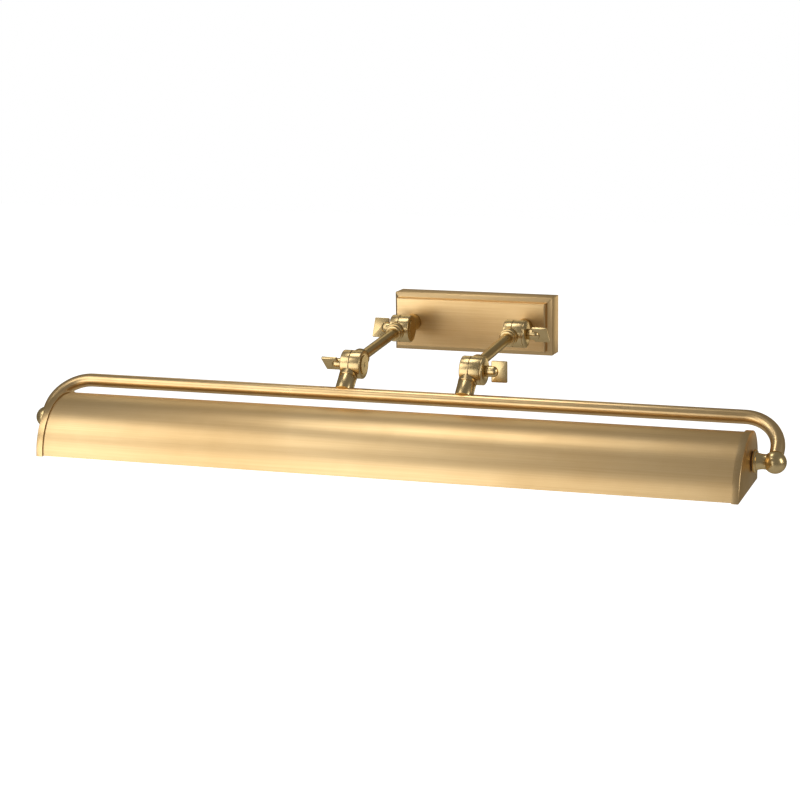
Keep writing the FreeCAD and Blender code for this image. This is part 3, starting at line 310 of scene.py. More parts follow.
def clear_glass():
    """Thin lamp glass."""
    made, shader = material("clear_glass")
    if shader is None:
        return made
    tree = made.node_tree
    place = node(tree, "TexCoord")
    cloud = node(tree, "TexNoise", {"Vector": place.outputs["Object"], "Scale": 60.0})
    veil = node(tree, "MapRange", {"Value": cloud, "To Min": 0.02, "To Max": 0.08})
    feed(tree, shader, {"Roughness": veil, "Base Color": (0.97, 0.97, 0.95, 1),
                        "Transmission Weight": 1.0, "IOR": 1.45})
    return made


def finish(name):
    """The named finish, in the colours of this scene."""
    f = settings_of("finish")
    if name == "clear_glass":
        return clear_glass()
    if name in MOULDED:
        base, smooth, bump = MOULDED[name]
        light = getattr(f, base)
        return satin(name, light, [c * MOULDED_SHADE for c in light], *MOULDED_GRAIN, smooth,
                     smooth + MOULDED_SPREAD, bump, metallic=0.0)
    base, *look = METALS[name]
    light, dark = {"brass": (f.brass_light, f.brass_dark), "cast": (f.cast_light, f.cast_dark),
                   "steel": (f.steel, [c * STEEL_SHADE for c in f.steel]),
                   "base": (LAMP_BASE_LIGHT, LAMP_BASE_DARK)}[base]
    return satin(name, light, dark, *look, metallic=1.0)


# ---------------------------------------------------------------- shaping helpers
WELD = 2e-6     # vertices nearer than this are one, in metres


def turned(bm, profile, origin, axis, steps=72):
    """Spin a profile of (distance along the axis, radius) points into a closed turned shape."""
    along = Vector(axis).normalized()
    across = along.cross(X_AXIS)
    if across.length < 0.1:
        across = Vector(Z_AXIS)
    across.normalize()
    verts = [bm.verts.new(Vector(origin) + along * a + across * r) for a, r in profile]
    edges = [bm.edges.new(pair) for pair in zip(verts, verts[1:])]
    if profile[0][1] > 1e-6:
        edges.append(bm.edges.new((verts[-1], verts[0])))
    bmesh.ops.spin(bm, geom=verts + edges, cent=origin, axis=along, dvec=(0, 0, 0),
                   angle=math.tau, steps=steps, use_merge=True)
    closed(bm)


def closed(bm):
    """Merge doubles, drop slivers and turn every face outwards."""
    bmesh.ops.remove_doubles(bm, verts=bm.verts, dist=WELD)
    bmesh.ops.dissolve_degenerate(bm, edges=bm.edges, dist=1e-6)
    bmesh.ops.recalc_face_normals(bm, faces=bm.faces)


def block(bm, low, high):
    """Box between two corners, faces outwards."""
    low, high = Vector(low), Vector(high)
    made = bmesh.ops.create_cube(bm, size=1.0)
    bmesh.ops.scale(bm, vec=high - low, verts=made["verts"])
    bmesh.ops.translate(bm, vec=(low + high) / 2, verts=made["verts"])
    return made["verts"]


def soften(bm, width, segments=2, wanted=None, angle=30):
    """Round the sharp edges, or those that wanted(edge) picks."""
    edges = [e for e in bm.edges
             if len(e.link_faces) == 2 and e.calc_face_angle(0) > math.radians(angle)]
    if wanted:
        edges = [e for e in edges if wanted(e)]
    bmesh.ops.bevel(bm, geom=edges, offset=width, offset_type="OFFSET", segments=segments,
                    profile=0.5, affect="EDGES", clamp_overlap=True, material=-1)


def arc_points(centre, radius, first, last, steps):
    """Points of a profile's arc, angles in degrees from the turning axis."""
    turns = [math.radians(first + (last - first) * i / steps) for i in range(steps + 1)]
    return [(centre + radius * math.cos(t), max(0.0, radius * math.sin(t))) for t in turns]


def quarter(steps):
    """Sine and cosine at equal steps through a quarter turn."""
    turns = [math.radians(90 * i / steps) for i in range(steps + 1)]
    return [(math.sin(t), math.cos(t)) for t in turns]


def ring(length, outer, inner):
    """Profile of a plain ring or tube."""
    return [(0, inner), (0, outer), (length, outer), (length, inner)]


def scaled(profile):
    """A profile given in millimetres, in metres."""
    return [(along * MM, radius * MM) for along, radius in profile]


def moved(made, kind):
    """The vertices or edges of what an operator made."""
    return [g for g in made if isinstance(g, kind)]


def solid(make, *args):
    """A bmesh made by one shaping function."""
    bm = bmesh.new()
    make(bm, *args)
    return bm


def mesh_object(bm, name):
    """Object from a bmesh, which is freed."""
    mesh = bpy.data.meshes.new(name)
    bm.to_mesh(mesh)
    bm.free()
    made = bpy.data.objects.new(name, mesh)
    bpy.context.scene.collection.objects.link(made)
    return made


def carved(bm, steps):
    """Join to or cut from a bmesh: steps are ("UNION" or "DIFFERENCE", bmesh)."""
    base = mesh_object(bm, "carving")
    tools = []
    for way, tool in steps:
        cutter = mesh_object(tool, "carving_tool")
        modifier = base.modifiers.new("carve", "BOOLEAN")
        modifier.operation = way
        modifier.solver = "EXACT"
        modifier.object = cutter
        tools.append(cutter)
    depsgraph = bpy.context.evaluated_depsgraph_get()
    mesh = bpy.data.meshes.new_from_object(base.evaluated_get(depsgraph))
    for spare in [base, *tools]:
        old = spare.data
        bpy.data.objects.remove(spare)
        bpy.data.meshes.remove(old)
    result = bmesh.new()
    result.from_mesh(mesh)
    bpy.data.meshes.remove(mesh)
    bmesh.ops.remove_doubles(result, verts=result.verts, dist=WELD)
    return result


def finished(bm, name, body, surface, stands_for=None, sharp=32):
    """Turn a bmesh into the named piece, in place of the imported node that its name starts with."""
    piece = mesh_object(bm, name)
    mesh = piece.data
    mesh.polygons.foreach_set("use_smooth", [True] * len(mesh.polygons))
    mesh.set_sharp_from_angle(angle=math.radians(sharp))
    mesh.materials.clear()
    mesh.materials.append(finish(surface))
    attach(piece, body)
    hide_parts(stands_for or name.rpartition("_")[0])


def recoat(surface, *names):
    """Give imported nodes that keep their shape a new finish."""
    for name in names:
        mesh = frame["nodes"][name].data
        mesh.materials.clear()
        mesh.materials.append(finish(surface))


# ---------------------------------------------------------------- places shared by several pieces
def mating_x(side):
    """X of the plane between a knuckle's discs."""
    return side * settings_of("knuckle").spacing / 2


def stem_x(side):
    """X of a stem, a little left of the mating plane."""
    return mating_x(side) - settings_of("knuckle").stem_shift


def disc_face(half):
    """Distance from the mating plane to a disc's outer face."""
    k = settings_of("knuckle")
    return half * (k.gap / 2 + (k.left_half if half == LEFT else k.right_half))


def key_seat(half):
    """Distance from the mating plane to the face where a key starts."""
    extra = 2 * PRESS_FIT if half == LEFT else settings_of("knuckle").cup + 3 * PRESS_FIT
    return disc_face(half) + half * extra


def at(x, centre):
    """The point of a knuckle's or the tilt axis at x."""
    return Vector((x, centre.y, centre.z))


def shade_end():
    """X of the right end cap's face."""
    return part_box("right_end_cap")[1].x


# ---------------------------------------------------------------- knuckles
OVERSHOOT = 1 * MM      # how far a cutting shape passes the face it opens
STEM_ROOT = 3 * MM      # where a collar starts inside its disc
CUT_LENGTH = 30 * MM    # reach of the shapes that clear a collar beside its disc


def disc(bm, side, centre, half):
    """One disc of a knuckle."""
    k = settings_of("knuckle")
    inner = mating_x(side) + half * k.gap / 2
    thick = abs(disc_face(half)) - k.gap / 2
    radius = k.diameter / 2
    c = k.chamfer
    profile = [(0, 0), (0, radius - 0.2 * MM), (0.2 * MM, radius), (thick - c, radius),
               (thick - c * 0.6, radius - c * 0.12), (thick - c * 0.12, radius - c * 0.6),
               (thick, radius - c), (thick, 0)]
    turned(bm, profile, at(inner, centre), X_AXIS * half)


def grooved_stem(bm, side, centre, direction, end):
    """Collar with a groove, and a stud that ends at end."""
    k = settings_of("knuckle")
    radius, groove, stud = k.collar / 2, k.collar / 2 - k.groove, k.stud / 2
    reach = k.collar_reach
    profile = [(STEM_ROOT, 0), (STEM_ROOT, radius), (reach - 0.9 * MM, radius),
               (reach - 0.5 * MM, radius - 0.4 * MM), (reach - 0.5 * MM, groove), (reach, groove),
               (reach, stud), (end, stud), (end, 0)]
    turned(bm, profile, at(stem_x(side), centre), direction)


def socket_stem(bm, side, centre, direction, reach):
    """Collar, step and socket for an arm's tube."""
    k, a = settings_of("knuckle"), settings_of("arm")
    radius, step, socket = k.collar / 2, a.step / 2, a.tube / 2 + PRESS_FIT
    end = reach + a.step_length
    profile = [(STEM_ROOT, 0), (STEM_ROOT, radius)]
    for stop, size_here in ((reach, radius), (end, step)):
        profile += [(stop - 0.6 * MM, size_here), (stop - 0.15 * MM, size_here - 0.2 * MM),
                    (stop, size_here - 0.6 * MM), (stop, step if stop == reach else socket)]
    profile += [(end - a.seat, socket), (end - a.seat, 0)]
    turned(bm, profile, at(stem_x(side), centre), direction)


def cylinder(bm, start, direction, radius, length):
    """Plain closed cylinder."""
    turned(bm, [(0, 0), (0, radius), (length, radius), (length, 0)], start, direction)


def eye(side, centre, half, stem, screw_head):
    """Disc joined to a stem, cleared round the other disc, bored, and dished under a screw head."""
    k = settings_of("knuckle")
    plane = mating_x(side)
    inner = at(plane + half * (k.gap / 2 - 0.01 * MM), centre)
    outer = at(plane + disc_face(half) + half * 0.01 * MM, centre)
    away = X_AXIS * half
    stem = carved(stem, [
        ("DIFFERENCE", solid(cylinder, inner, -away, k.diameter / 2 + k.relief, CUT_LENGTH)),
        ("DIFFERENCE", solid(cylinder, outer, away, k.diameter / 2, CUT_LENGTH))])
    bore = solid(cylinder, at(plane - 20 * MM, centre), X_AXIS, k.pivot / 2 + RUNNING_FIT, 40 * MM)
    steps = [("UNION", stem), ("DIFFERENCE", bore)]
    if screw_head:
        floor = at(plane + disc_face(half) - half * k.recess_depth, centre)
        radius, depth = k.recess / 2, k.recess_depth
        rim, top = radius + 0.31 * MM, depth + OVERSHOOT
        dish = solid(turned, [(0, 0), (0, radius - 0.5 * MM), (0.15 * MM, radius - 0.15 * MM),
                              (0.5 * MM, radius), (depth - 0.3 * MM, radius),
                              (depth + 0.01 * MM, rim), (top, rim), (top, 0)], floor, away)
        steps.append(("DIFFERENCE", dish))
    return carved(solid(disc, side, centre, half), steps)


class PICTURELIGHT_OT_eyes(bpy.types.Operator):
    """Make the eight knuckle eyes with their collars and stems"""
    bl_idname = "picturelight.eyes"
    bl_label = "Knuckle Eyes"

    def execute(self, context):
        plate, rail = settings_of("plate"), settings_of("rail")
        arm = settings_of("arm")
        wall_stud = plate.boss_length + 9 * MM
        rail_stud = STEM_LENGTH - rail.diameter / 2 + 1.5 * MM
        eyes = (
            ("wall_eye", "wall_mount", WALL_KNUCKLE, Y_AXIS, RIGHT, grooved_stem, wall_stud),
            ("arm_rear_eye", "arm_pair", WALL_KNUCKLE, ARM_DIRECTION, LEFT, socket_stem,
             arm.rear_reach),
            ("arm_front_eye", "arm_pair", FRONT_KNUCKLE, -ARM_DIRECTION, RIGHT, socket_stem,
             arm.front_reach),
            ("stem_eye", "rail_frame", FRONT_KNUCKLE, STEM_DIRECTION, LEFT, grooved_stem, rail_stud))
        for name, side in SIDES.items():
            for piece, body, centre, direction, half, make, reach in eyes:
                stem = solid(make, side, centre, direction, reach)
                finished(eye(side, centre, half, stem, half != side), name + "_" + piece + "_turned",
                         body, "turned_brass")
        return {"FINISHED"}


def sleeve_profile(length, radius, bore):
    """Sleeve with both ends eased."""
    return [(0, bore), (0, radius - 0.3 * MM), (0.1 * MM, radius - 0.1 * MM), (0.35 * MM, radius),
            (length - 0.4 * MM, radius), (length - 0.1 * MM, radius - 0.12 * MM),
            (length, radius - 0.4 * MM), (length, bore)]


class PICTURELIGHT_OT_sleeves(bpy.types.Operator):
    """Make the boss sleeves on the plate and the ferrules on the rail"""
    bl_idname = "picturelight.sleeves"
    bl_label = "Sleeves and Ferrules"

    def execute(self, context):
        k, plate = settings_of("knuckle"), settings_of("plate")
        rail = settings_of("rail")
        bore, radius = k.stud / 2 + PRESS_FIT, k.sleeve / 2
        first = k.collar_reach + PRESS_FIT
        for name, side in SIDES.items():
            start = at(stem_x(side), WALL_KNUCKLE) + Y_AXIS * first
            profile = sleeve_profile(plate.boss_length - first - PRESS_FIT, radius, bore)
            finished(solid(turned, profile, start, Y_AXIS), name + "_boss_sleeve_turned",
                     "wall_mount", "turned_brass")
            start = at(stem_x(side), FRONT_KNUCKLE) + STEM_DIRECTION * first
            profile = sleeve_profile(STEM_LENGTH - rail.ferrule_lap - first, radius, bore)
            saddle = solid(cylinder, at(stem_x(side) - 20 * MM, RAIL_CENTRE), X_AXIS,
                           rail.diameter / 2 + PRESS_FIT, 40 * MM)
            ferrule = carved(solid(turned, profile, start, STEM_DIRECTION), [("DIFFERENCE", saddle)])
            finished(ferrule, name + "_stem_ferrule_turned", "rail_frame",
                     "turned_brass")
        return {"FINISHED"}


SCREWS = {"left_wall": (LEFT, WALL_KNUCKLE, "wall_mount"),
          "left_front": (LEFT, FRONT_KNUCKLE, "arm_pair"),
          "right_wall": (RIGHT, WALL_KNUCKLE, "arm_pair"),
          "right_front": (RIGHT, FRONT_KNUCKLE, "rail_frame")}
WASHERS = {"wall": (WALL_KNUCKLE, "wall_mount"), "front": (FRONT_KNUCKLE, "arm_pair")}
SCREW_GRIP = 4.5 * MM       # how far a pivot screw enters its key
CUP_FLAT_RADIUS = 7 * MM    # flat middle of a cup washer


class PICTURELIGHT_OT_screws(bpy.types.Operator):
    """Make the pivot screws, friction washers and cup washers"""
    bl_idname = "picturelight.screws"
    bl_label = "Pivot Screws and Washers"

    def execute(self, context):
        k = settings_of("knuckle")
        for name, (half, centre, body) in SCREWS.items():
            plane = mating_x(half)
            seat = plane + disc_face(-half) + half * (k.recess_depth - PRESS_FIT)
            shank = -abs(seat - (plane + key_seat(half) + half * SCREW_GRIP))
            head, rim = k.head / 2, k.head_height * 0.35
            dome = k.head_height - rim
            dome_radius = (head ** 2 + dome ** 2) / (2 * dome)
            spread = math.degrees(math.asin(head / dome_radius))
            profile = [(shank, 0), (shank, k.pivot / 2), (0, k.pivot / 2), (0, head - 0.2 * MM),
                       (0.2 * MM, head)]
            profile += arc_points(k.head_height - dome_radius, dome_radius, spread, 0, 10)
            finished(solid(turned, profile, at(seat, centre), X_AXIS * -half),
                     name + "_pivot_screw_turned", body, "turned_brass")
        bore, radius, straight = k.pivot / 2 + RUNNING_FIT, k.diameter / 2, k.cup * 0.25
        for name, (centre, body) in WASHERS.items():
            pair = bmesh.new()
            for side in SIDES.values():
                turned(pair, ring(k.washer, radius - 0.6 * MM, bore),
                       at(mating_x(side) - k.washer / 2, centre), X_AXIS)
            finished(pair, name + "_friction_washers_flat", body, "vulcanised_fibre")
            profile = [(0, bore), (0, radius - 0.25 * MM), (0.25 * MM, radius)]
            profile += [(straight + (k.cup - straight) * sine,
                         CUP_FLAT_RADIUS + (radius - CUP_FLAT_RADIUS) * cosine)
                        for sine, cosine in quarter(12)]
            profile.append((k.cup, bore))
            start = at(mating_x(RIGHT) + disc_face(RIGHT) + PRESS_FIT, centre)
            finished(solid(turned, profile, start, X_AXIS), "right_" + name + "_cup_washer_domed",
                     body, "turned_brass")
        return {"FINISHED"}


# Of each key: its side, its knuckle and the blade's turn from upright in degrees.
KEYS = {"left_wall": (LEFT, WALL_KNUCKLE, -28), "left_front": (LEFT, FRONT_KNUCKLE, 50),
        "right_wall": (RIGHT, WALL_KNUCKLE, 42), "right_front": (RIGHT, FRONT_KNUCKLE, 0)}
KEY_BORE_RADIUS, KEY_BORE_DEPTH = 3.08 * MM, 5.8 * MM
BLADE_CORNER, BLADE_EDGE = 0.8 * MM, 0.35 * MM


class PICTURELIGHT_OT_keys(bpy.types.Operator):
    """Make the four thumb keys"""
    bl_idname = "picturelight.keys"
    bl_label = "Thumb Keys"

    def execute(self, context):
        key = settings_of("key")
        for name, (half, centre, degrees) in KEYS.items():
            seat = at(mating_x(half) + key_seat(half), centre)
            turn = Matrix.Rotation(math.radians(degrees), 3, "X")
            radius, straight = key.hub / 2, key.hub_length - key.nose
            profile = [(0, 0), (0, radius - 0.5 * MM), (0.15 * MM, radius - 0.15 * MM),
                       (0.5 * MM, radius)]
            profile += [(straight + key.nose * sine, max(0.0, radius * cosine))
                        for sine, cosine in quarter(12)]
            hub = solid(turned, profile, seat, X_AXIS * half)
            thick, span = key.blade_thickness / 2, key.blade_span / 2
            near = seat.x + half * key.blade_start
            low, high = sorted((near, near + half * key.blade_length))
            slot_low = low - PRESS_FIT if half == RIGHT else low
            slot_high = high + PRESS_FIT if half == LEFT else high
            slot = solid(block, (slot_low, seat.y - thick - PRESS_FIT, seat.z - span),
                         (slot_high, seat.y + thick + PRESS_FIT, seat.z + span))
            bore = solid(cylinder, seat - X_AXIS * half * OVERSHOOT, X_AXIS * half,
                         KEY_BORE_RADIUS, KEY_BORE_DEPTH)
            hub = carved(hub, [("DIFFERENCE", slot), ("DIFFERENCE", bore)])
            blade = solid(block, (low, seat.y - thick, seat.z - span),
                          (high, seat.y + thick, seat.z + span))
            soften(blade, BLADE_CORNER, 4,
                   lambda e: abs((e.verts[0].co - e.verts[1].co).normalized().y) > 0.9)
            soften(blade, BLADE_EDGE, 2)
            for bm, piece in ((hub, "_key_hub_turned"), (blade, "_key_blade_flat")):
                bmesh.ops.rotate(bm, cent=seat, matrix=turn, verts=bm.verts)
                finished(bm, name + piece, name + "_key", "turned_brass")
        return {"FINISHED"}


# ---------------------------------------------------------------- arms
class PICTURELIGHT_OT_arms(bpy.types.Operator):
    """Make the two arm tubes"""
    bl_idname = "picturelight.arms"
    bl_label = "Arm Tubes"

    def execute(self, context):
        arm = settings_of("arm")
        inset = arm.step_length - arm.seat + PRESS_FIT
        first = arm.rear_reach + inset
        length = ARM_LENGTH - first - arm.front_reach - inset
        for name, side in SIDES.items():
            start = at(stem_x(side), WALL_KNUCKLE) + ARM_DIRECTION * first
            tube = solid(turned, ring(length, arm.tube / 2, arm.bore / 2), start, ARM_DIRECTION)
            finished(tube, name + "_arm_tube_drawn", "arm_pair", "arm_brass")
        return {"FINISHED"}


# ---------------------------------------------------------------- rail and its ends
LEG_FOOT = 5 * MM       # from the tilt axis to the end of the rail's legs


def advance(bm, edges, step):
    """Extrude a ring of edges by a vector and return the new ring."""
    made = bmesh.ops.extrude_edge_only(bm, edges=edges)["geom"]
    bmesh.ops.translate(bm, vec=step, verts=moved(made, bmesh.types.BMVert))
    return [e for e in moved(made, bmesh.types.BMEdge) if all(v in made for v in e.verts)]


def swing(bm, edges, centre, axis, degrees, steps):
    """Spin a ring of edges through a bend and return the last ring."""
    verts = list({v for e in edges for v in e.verts})
    made = bmesh.ops.spin(bm, geom=verts + edges, cent=centre, axis=axis, dvec=(0, 0, 0),
                          angle=math.radians(degrees), steps=steps, use_merge=False)
    return moved(made["geom_last"], bmesh.types.BMEdge)


class PICTURELIGHT_OT_rail(bpy.types.Operator):
    """Make the bent rail"""
    bl_idname = "picturelight.rail"
    bl_label = "Rail"

    def execute(self, context):
        rail = settings_of("rail")
        ball_x = shade_end() + rail.standoff
        leg = LEG_LENGTH - rail.bend - LEG_FOOT
        bm = bmesh.new()
        verts = bmesh.ops.create_circle(bm, cap_ends=False, radius=rail.diameter / 2,
                                        segments=48)["verts"]
        edges = list({e for v in verts for e in v.link_edges})
        turn = Z_AXIS.rotation_difference(-LEG_DIRECTION).to_matrix()
        bmesh.ops.rotate(bm, cent=(0, 0, 0), matrix=turn, verts=verts)
        start = at(-ball_x, TILT_AXIS) - LEG_DIRECTION * (LEG_FOOT + PRESS_FIT)
        bmesh.ops.translate(bm, vec=start, verts=verts)
        edges = advance(bm, edges, -LEG_DIRECTION * leg)
        bend = RAIL_CENTRE + LEG_DIRECTION * rail.bend
        bend_x = ball_x - rail.bend
        normal = X_AXIS.cross(LEG_DIRECTION)
        edges = swing(bm, edges, at(-bend_x, bend), -normal, -90, 28)
        edges = advance(bm, edges, X_AXIS * 2 * bend_x)
        edges = swing(bm, edges, at(bend_x, bend), -normal, -90, 28)
        advance(bm, edges, LEG_DIRECTION * leg)
        bmesh.ops.holes_fill(bm, edges=[e for e in bm.edges if e.is_boundary], sides=60)
        closed(bm)
        finished(bm, "rail_drawn", "rail_frame", "rail_brass", "rail_tube")
        return {"FINISHED"}


FLANGE_GAP = 1.0 * MM           # from an end cap's face to a ball's flange
SPINDLE_REACH = 9.3 * MM        # how far a spindle passes into the shade
# Of each pivot washer: its distance from the cap's face, which way it goes on, and its radius.
PIVOT_WASHERS = ((0.1 * MM, 1, 8.5 * MM), (-2.3 * MM, -1, 7.5 * MM))
PIVOT_WASHER_THICKNESS = 0.8 * MM


class PICTURELIGHT_OT_ends(bpy.types.Operator):
    """Make the turned balls that carry the shade, with their washers"""
    bl_idname = "picturelight.ends"
    bl_label = "End Balls"

    def execute(self, context):
        rail = settings_of("rail")
        flange_x = shade_end() + FLANGE_GAP
        out = rail.standoff - FLANGE_GAP
        ball, neck, flange = rail.ball / 2, rail.neck / 2, rail.flange / 2
        thick = rail.flange_thickness
        meet = neck + 0.3 * MM
        neck_end = out - math.sqrt(ball ** 2 - meet ** 2)
        profile = [(-SPINDLE_REACH, 0), (-SPINDLE_REACH, rail.spindle / 2), (0, rail.spindle / 2),
                   (0, flange - 0.5 * MM), (0.15 * MM, flange - 0.15 * MM), (0.5 * MM, flange),
                   (thick - 0.6 * MM, flange), (thick - 0.2 * MM, flange - 0.2 * MM),
                   (thick, flange - 0.6 * MM)]
        for i in range(17):
            share = i / 16
            flare = (flange - 2.2 * MM - neck) * (1 - share) ** 2.5 + 0.3 * MM * share ** 4
            profile.append((thick + (neck_end - thick) * share, neck + flare))
        first = 180 - math.degrees(math.asin(meet / ball))
        profile += arc_points(out, ball, first, 0, 32)[1:]
        washers = bmesh.new()
        for name, side in SIDES.items():
            finished(solid(turned, profile, at(side * flange_x, TILT_AXIS), X_AXIS * side),
                     name + "_end_ball_turned", "rail_frame", "turned_brass")
            for offset, way, radius in PIVOT_WASHERS:
                turned(washers, ring(PIVOT_WASHER_THICKNESS, radius, rail.spindle / 2 + PRESS_FIT),
                       at(side * (shade_end() + offset), TILT_AXIS), X_AXIS * side * way)
        finished(washers, "pivot_washers_flat", "rail_frame", "vulcanised_fibre")
        return {"FINISHED"}


# ---------------------------------------------------------------- shade
FRONT_STEPS, BACK_STEPS = 40, 24
CAP_FIT = 0.1 * MM              # between the sheet and the caps
SHEET_CUTS = 12


def section(bm, inset, x, lift):
    """Chain of edges from the front lip over the crown to the back lip; returns its vertices."""
    s = settings_of("shade")
    back = at(x, TILT_AXIS) + Vector((0, s.back_reach - s.back_radius, s.rise - s.back_radius))
    front = at(x, back) + Vector((0, -s.top_flat, s.back_radius - s.front_radius))
    radius = s.front_radius - inset
    low = math.asin(lift / radius)
    first = bm.verts.new(front + Vector((0, -radius * math.cos(low), radius * math.sin(low))))
    before = set(bm.verts) - {first}
    made = bmesh.ops.spin(bm, geom=[first], cent=front, axis=(-1, 0, 0), dvec=(0, 0, 0),
                          angle=math.pi / 2 - low, steps=FRONT_STEPS, use_merge=False)
    last = moved(made["geom_last"], bmesh.types.BMVert)
    last = bmesh.ops.extrude_vert_indiv(bm, verts=last)["verts"]
    bmesh.ops.translate(bm, vec=(0, s.top_flat, 0), verts=last)
    made = bmesh.ops.spin(bm, geom=last, cent=back, axis=(-1, 0, 0), dvec=(0, 0, 0),
                          angle=math.pi / 2, steps=BACK_STEPS, use_merge=False)
    last = moved(made["geom_last"], bmesh.types.BMVert)
    end = bmesh.ops.extrude_vert_indiv(bm, verts=last)["verts"][0]
    end.co = Vector((x, back.y + s.back_radius - inset, TILT_AXIS.z - s.back_drop + lift))
    return [v for v in bm.verts if v not in before]


def section_solid(bm, inset, lift, x0, x1):
    """Closed section extruded from x0 to x1."""
    verts = section(bm, inset, x0, lift)
    bm.edges.new([v for v in verts if len(v.link_edges) == 1])
    edges = list({e for v in verts for e in v.link_edges})
    face = bmesh.ops.contextual_create(bm, geom=edges)["faces"]
    made = bmesh.ops.extrude_face_region(bm, geom=face)["geom"]
    bmesh.ops.translate(bm, vec=(x1 - x0, 0, 0), verts=moved(made, bmesh.types.BMVert))
    closed(bm)


class PICTURELIGHT_OT_sheet(bpy.types.Operator):
    """Make the curved shade sheet"""
    bl_idname = "picturelight.sheet"
    bl_label = "Shade Sheet"

    def execute(self, context):
        s = settings_of("shade")
        end = shade_end() - s.web - CAP_FIT
        bm = bmesh.new()
        section(bm, s.rim + CAP_FIT, -end, s.lip_lift)
        made = bmesh.ops.extrude_edge_only(bm, edges=list(bm.edges))["geom"]
        bmesh.ops.translate(bm, vec=(2 * end, 0, 0), verts=moved(made, bmesh.types.BMVert))
        across = [e for e in bm.edges if abs(e.verts[0].co.x - e.verts[1].co.x) > end]
        bmesh.ops.subdivide_edges(bm, edges=across, cuts=SHEET_CUTS)
        bmesh.ops.recalc_face_normals(bm, faces=bm.faces)
        crown = max(bm.faces, key=lambda f: f.calc_center_median().z)
        if crown.normal.z < 0:
            bmesh.ops.reverse_faces(bm, faces=bm.faces)
        bmesh.ops.solidify(bm, geom=list(bm.faces), thickness=s.sheet)
        finished(bm, "shade_sheet_rolled", "lamp_shade", "shade_brass")
        return {"FINISHED"}


CAP_BOSS = 3.5 * MM, 1.6 * MM       # outer and inner radius of a cap's screw bosses
CAP_SCREW_INSET = 2.85 * MM         # from the screws' outer side to their axis
LIP_OVERCUT = 3 * MM                # the caps' pockets are open below


class PICTURELIGHT_OT_caps(bpy.types.Operator):
    """Make the two end caps of the shade"""
    bl_idname = "picturelight.caps"
    bl_label = "End Caps"

    def execute(self, context):
        s, rail = settings_of("shade"), settings_of("rail")
        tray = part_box("wiring_tray")[1]
        first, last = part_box("end_cap_screws")
        boss = ring(shade_end() - s.web - tray.x - CAP_FIT, *CAP_BOSS)
        for name, side in SIDES.items():
            face = side * shade_end()
            web = face - side * s.web
            cap = solid(section_solid, 0, 0, face, face - side * s.rim_width)
            soften(cap, s.cap_edge, 3, lambda e: all(abs(v.co.x - face) < 1e-5 for v in e.verts),
                   angle=20)
            steps = []
            for drop in (0, LIP_OVERCUT):
                pocket = solid(section_solid, s.rim, 0, web, web - side * s.rim_width)
                bmesh.ops.translate(pocket, vec=(0, 0, -drop), verts=pocket.verts)
                steps.append(("DIFFERENCE", pocket))
            steps.append(("DIFFERENCE", solid(cylinder, at(face + side * OVERSHOOT, TILT_AXIS),
                                              X_AXIS * -side, rail.spindle / 2 + RUNNING_FIT, 8 * MM)))
            cap = carved(cap, steps)
            for y in (first.y + CAP_SCREW_INSET, last.y - CAP_SCREW_INSET):
                turned(cap, boss, Vector((web, y, (first.z + last.z) / 2)), X_AXIS * -side, 32)
            finished(cap, name + "_end_cap_pressed", "lamp_shade", "cap_brass",
                     sharp=25)
        return {"FINISHED"}


# ---------------------------------------------------------------- lamps and tray
# Turned profiles in millimetres: (distance along the axis, radius).
HOLDER = [(-2.3, 3), (-2.3, 5.4), (-1.9, 6), (-1.3, 6), (-1.3, 5), (0, 5), (0, 9), (0.3, 9.6),
          (1, 10), (10, 10), (11.5, 13), (12, 13.4), (13, 13.5), (20, 13.5), (20.3, 13), (21, 13),
          (21.3, 13.5), (32.8, 13.5), (33.6, 13.2), (34, 12.4), (34, 8), (14, 8), (14, 0), (10, 0),
          (10, 3)]
HOLDER_LENGTH = 34
GLASS_NECK = [(0, 6), (0, 6.8), (1.2, 7.6), (3.4, 10.6), (5, 12), (7, 12.5)]
GLASS_THROAT = [(7, 11.7), (4, 10.4)]
GLASS_RADIUS, GLASS_NOSE, GLASS_LENGTH, GLASS_WALL = 12.5, 8.75, 58, 0.8
GLASS_GAP = 0.1
BASE_FOOT = [(-19.95, 0), (-19.95, 2.4), (-18.4, 3.4), (-16.4, 6.2)]
BASE_THREADS = [point for start in range(-16, -3, 3)
                for point in ((start, 6.3), (start + 1, 6.8), (start + 2, 6.8))]
BASE_RIM = [(-0.4, 6.3), (0, 6.3), (0, 0)]


def glass_profile():
    """A lamp's glass, outside and then inside."""
    start, inner_nose = GLASS_LENGTH - GLASS_NOSE, GLASS_NOSE - GLASS_WALL
    outer = [(start + GLASS_NOSE * sine, max(0.0, GLASS_RADIUS * cosine))
             for sine, cosine in quarter(16)]
    inner = [(start + inner_nose * sine, max(0.0, (GLASS_RADIUS - GLASS_WALL) * cosine))
             for sine, cosine in reversed(quarter(16))]
    return scaled(GLASS_NECK + outer + inner + GLASS_THROAT)


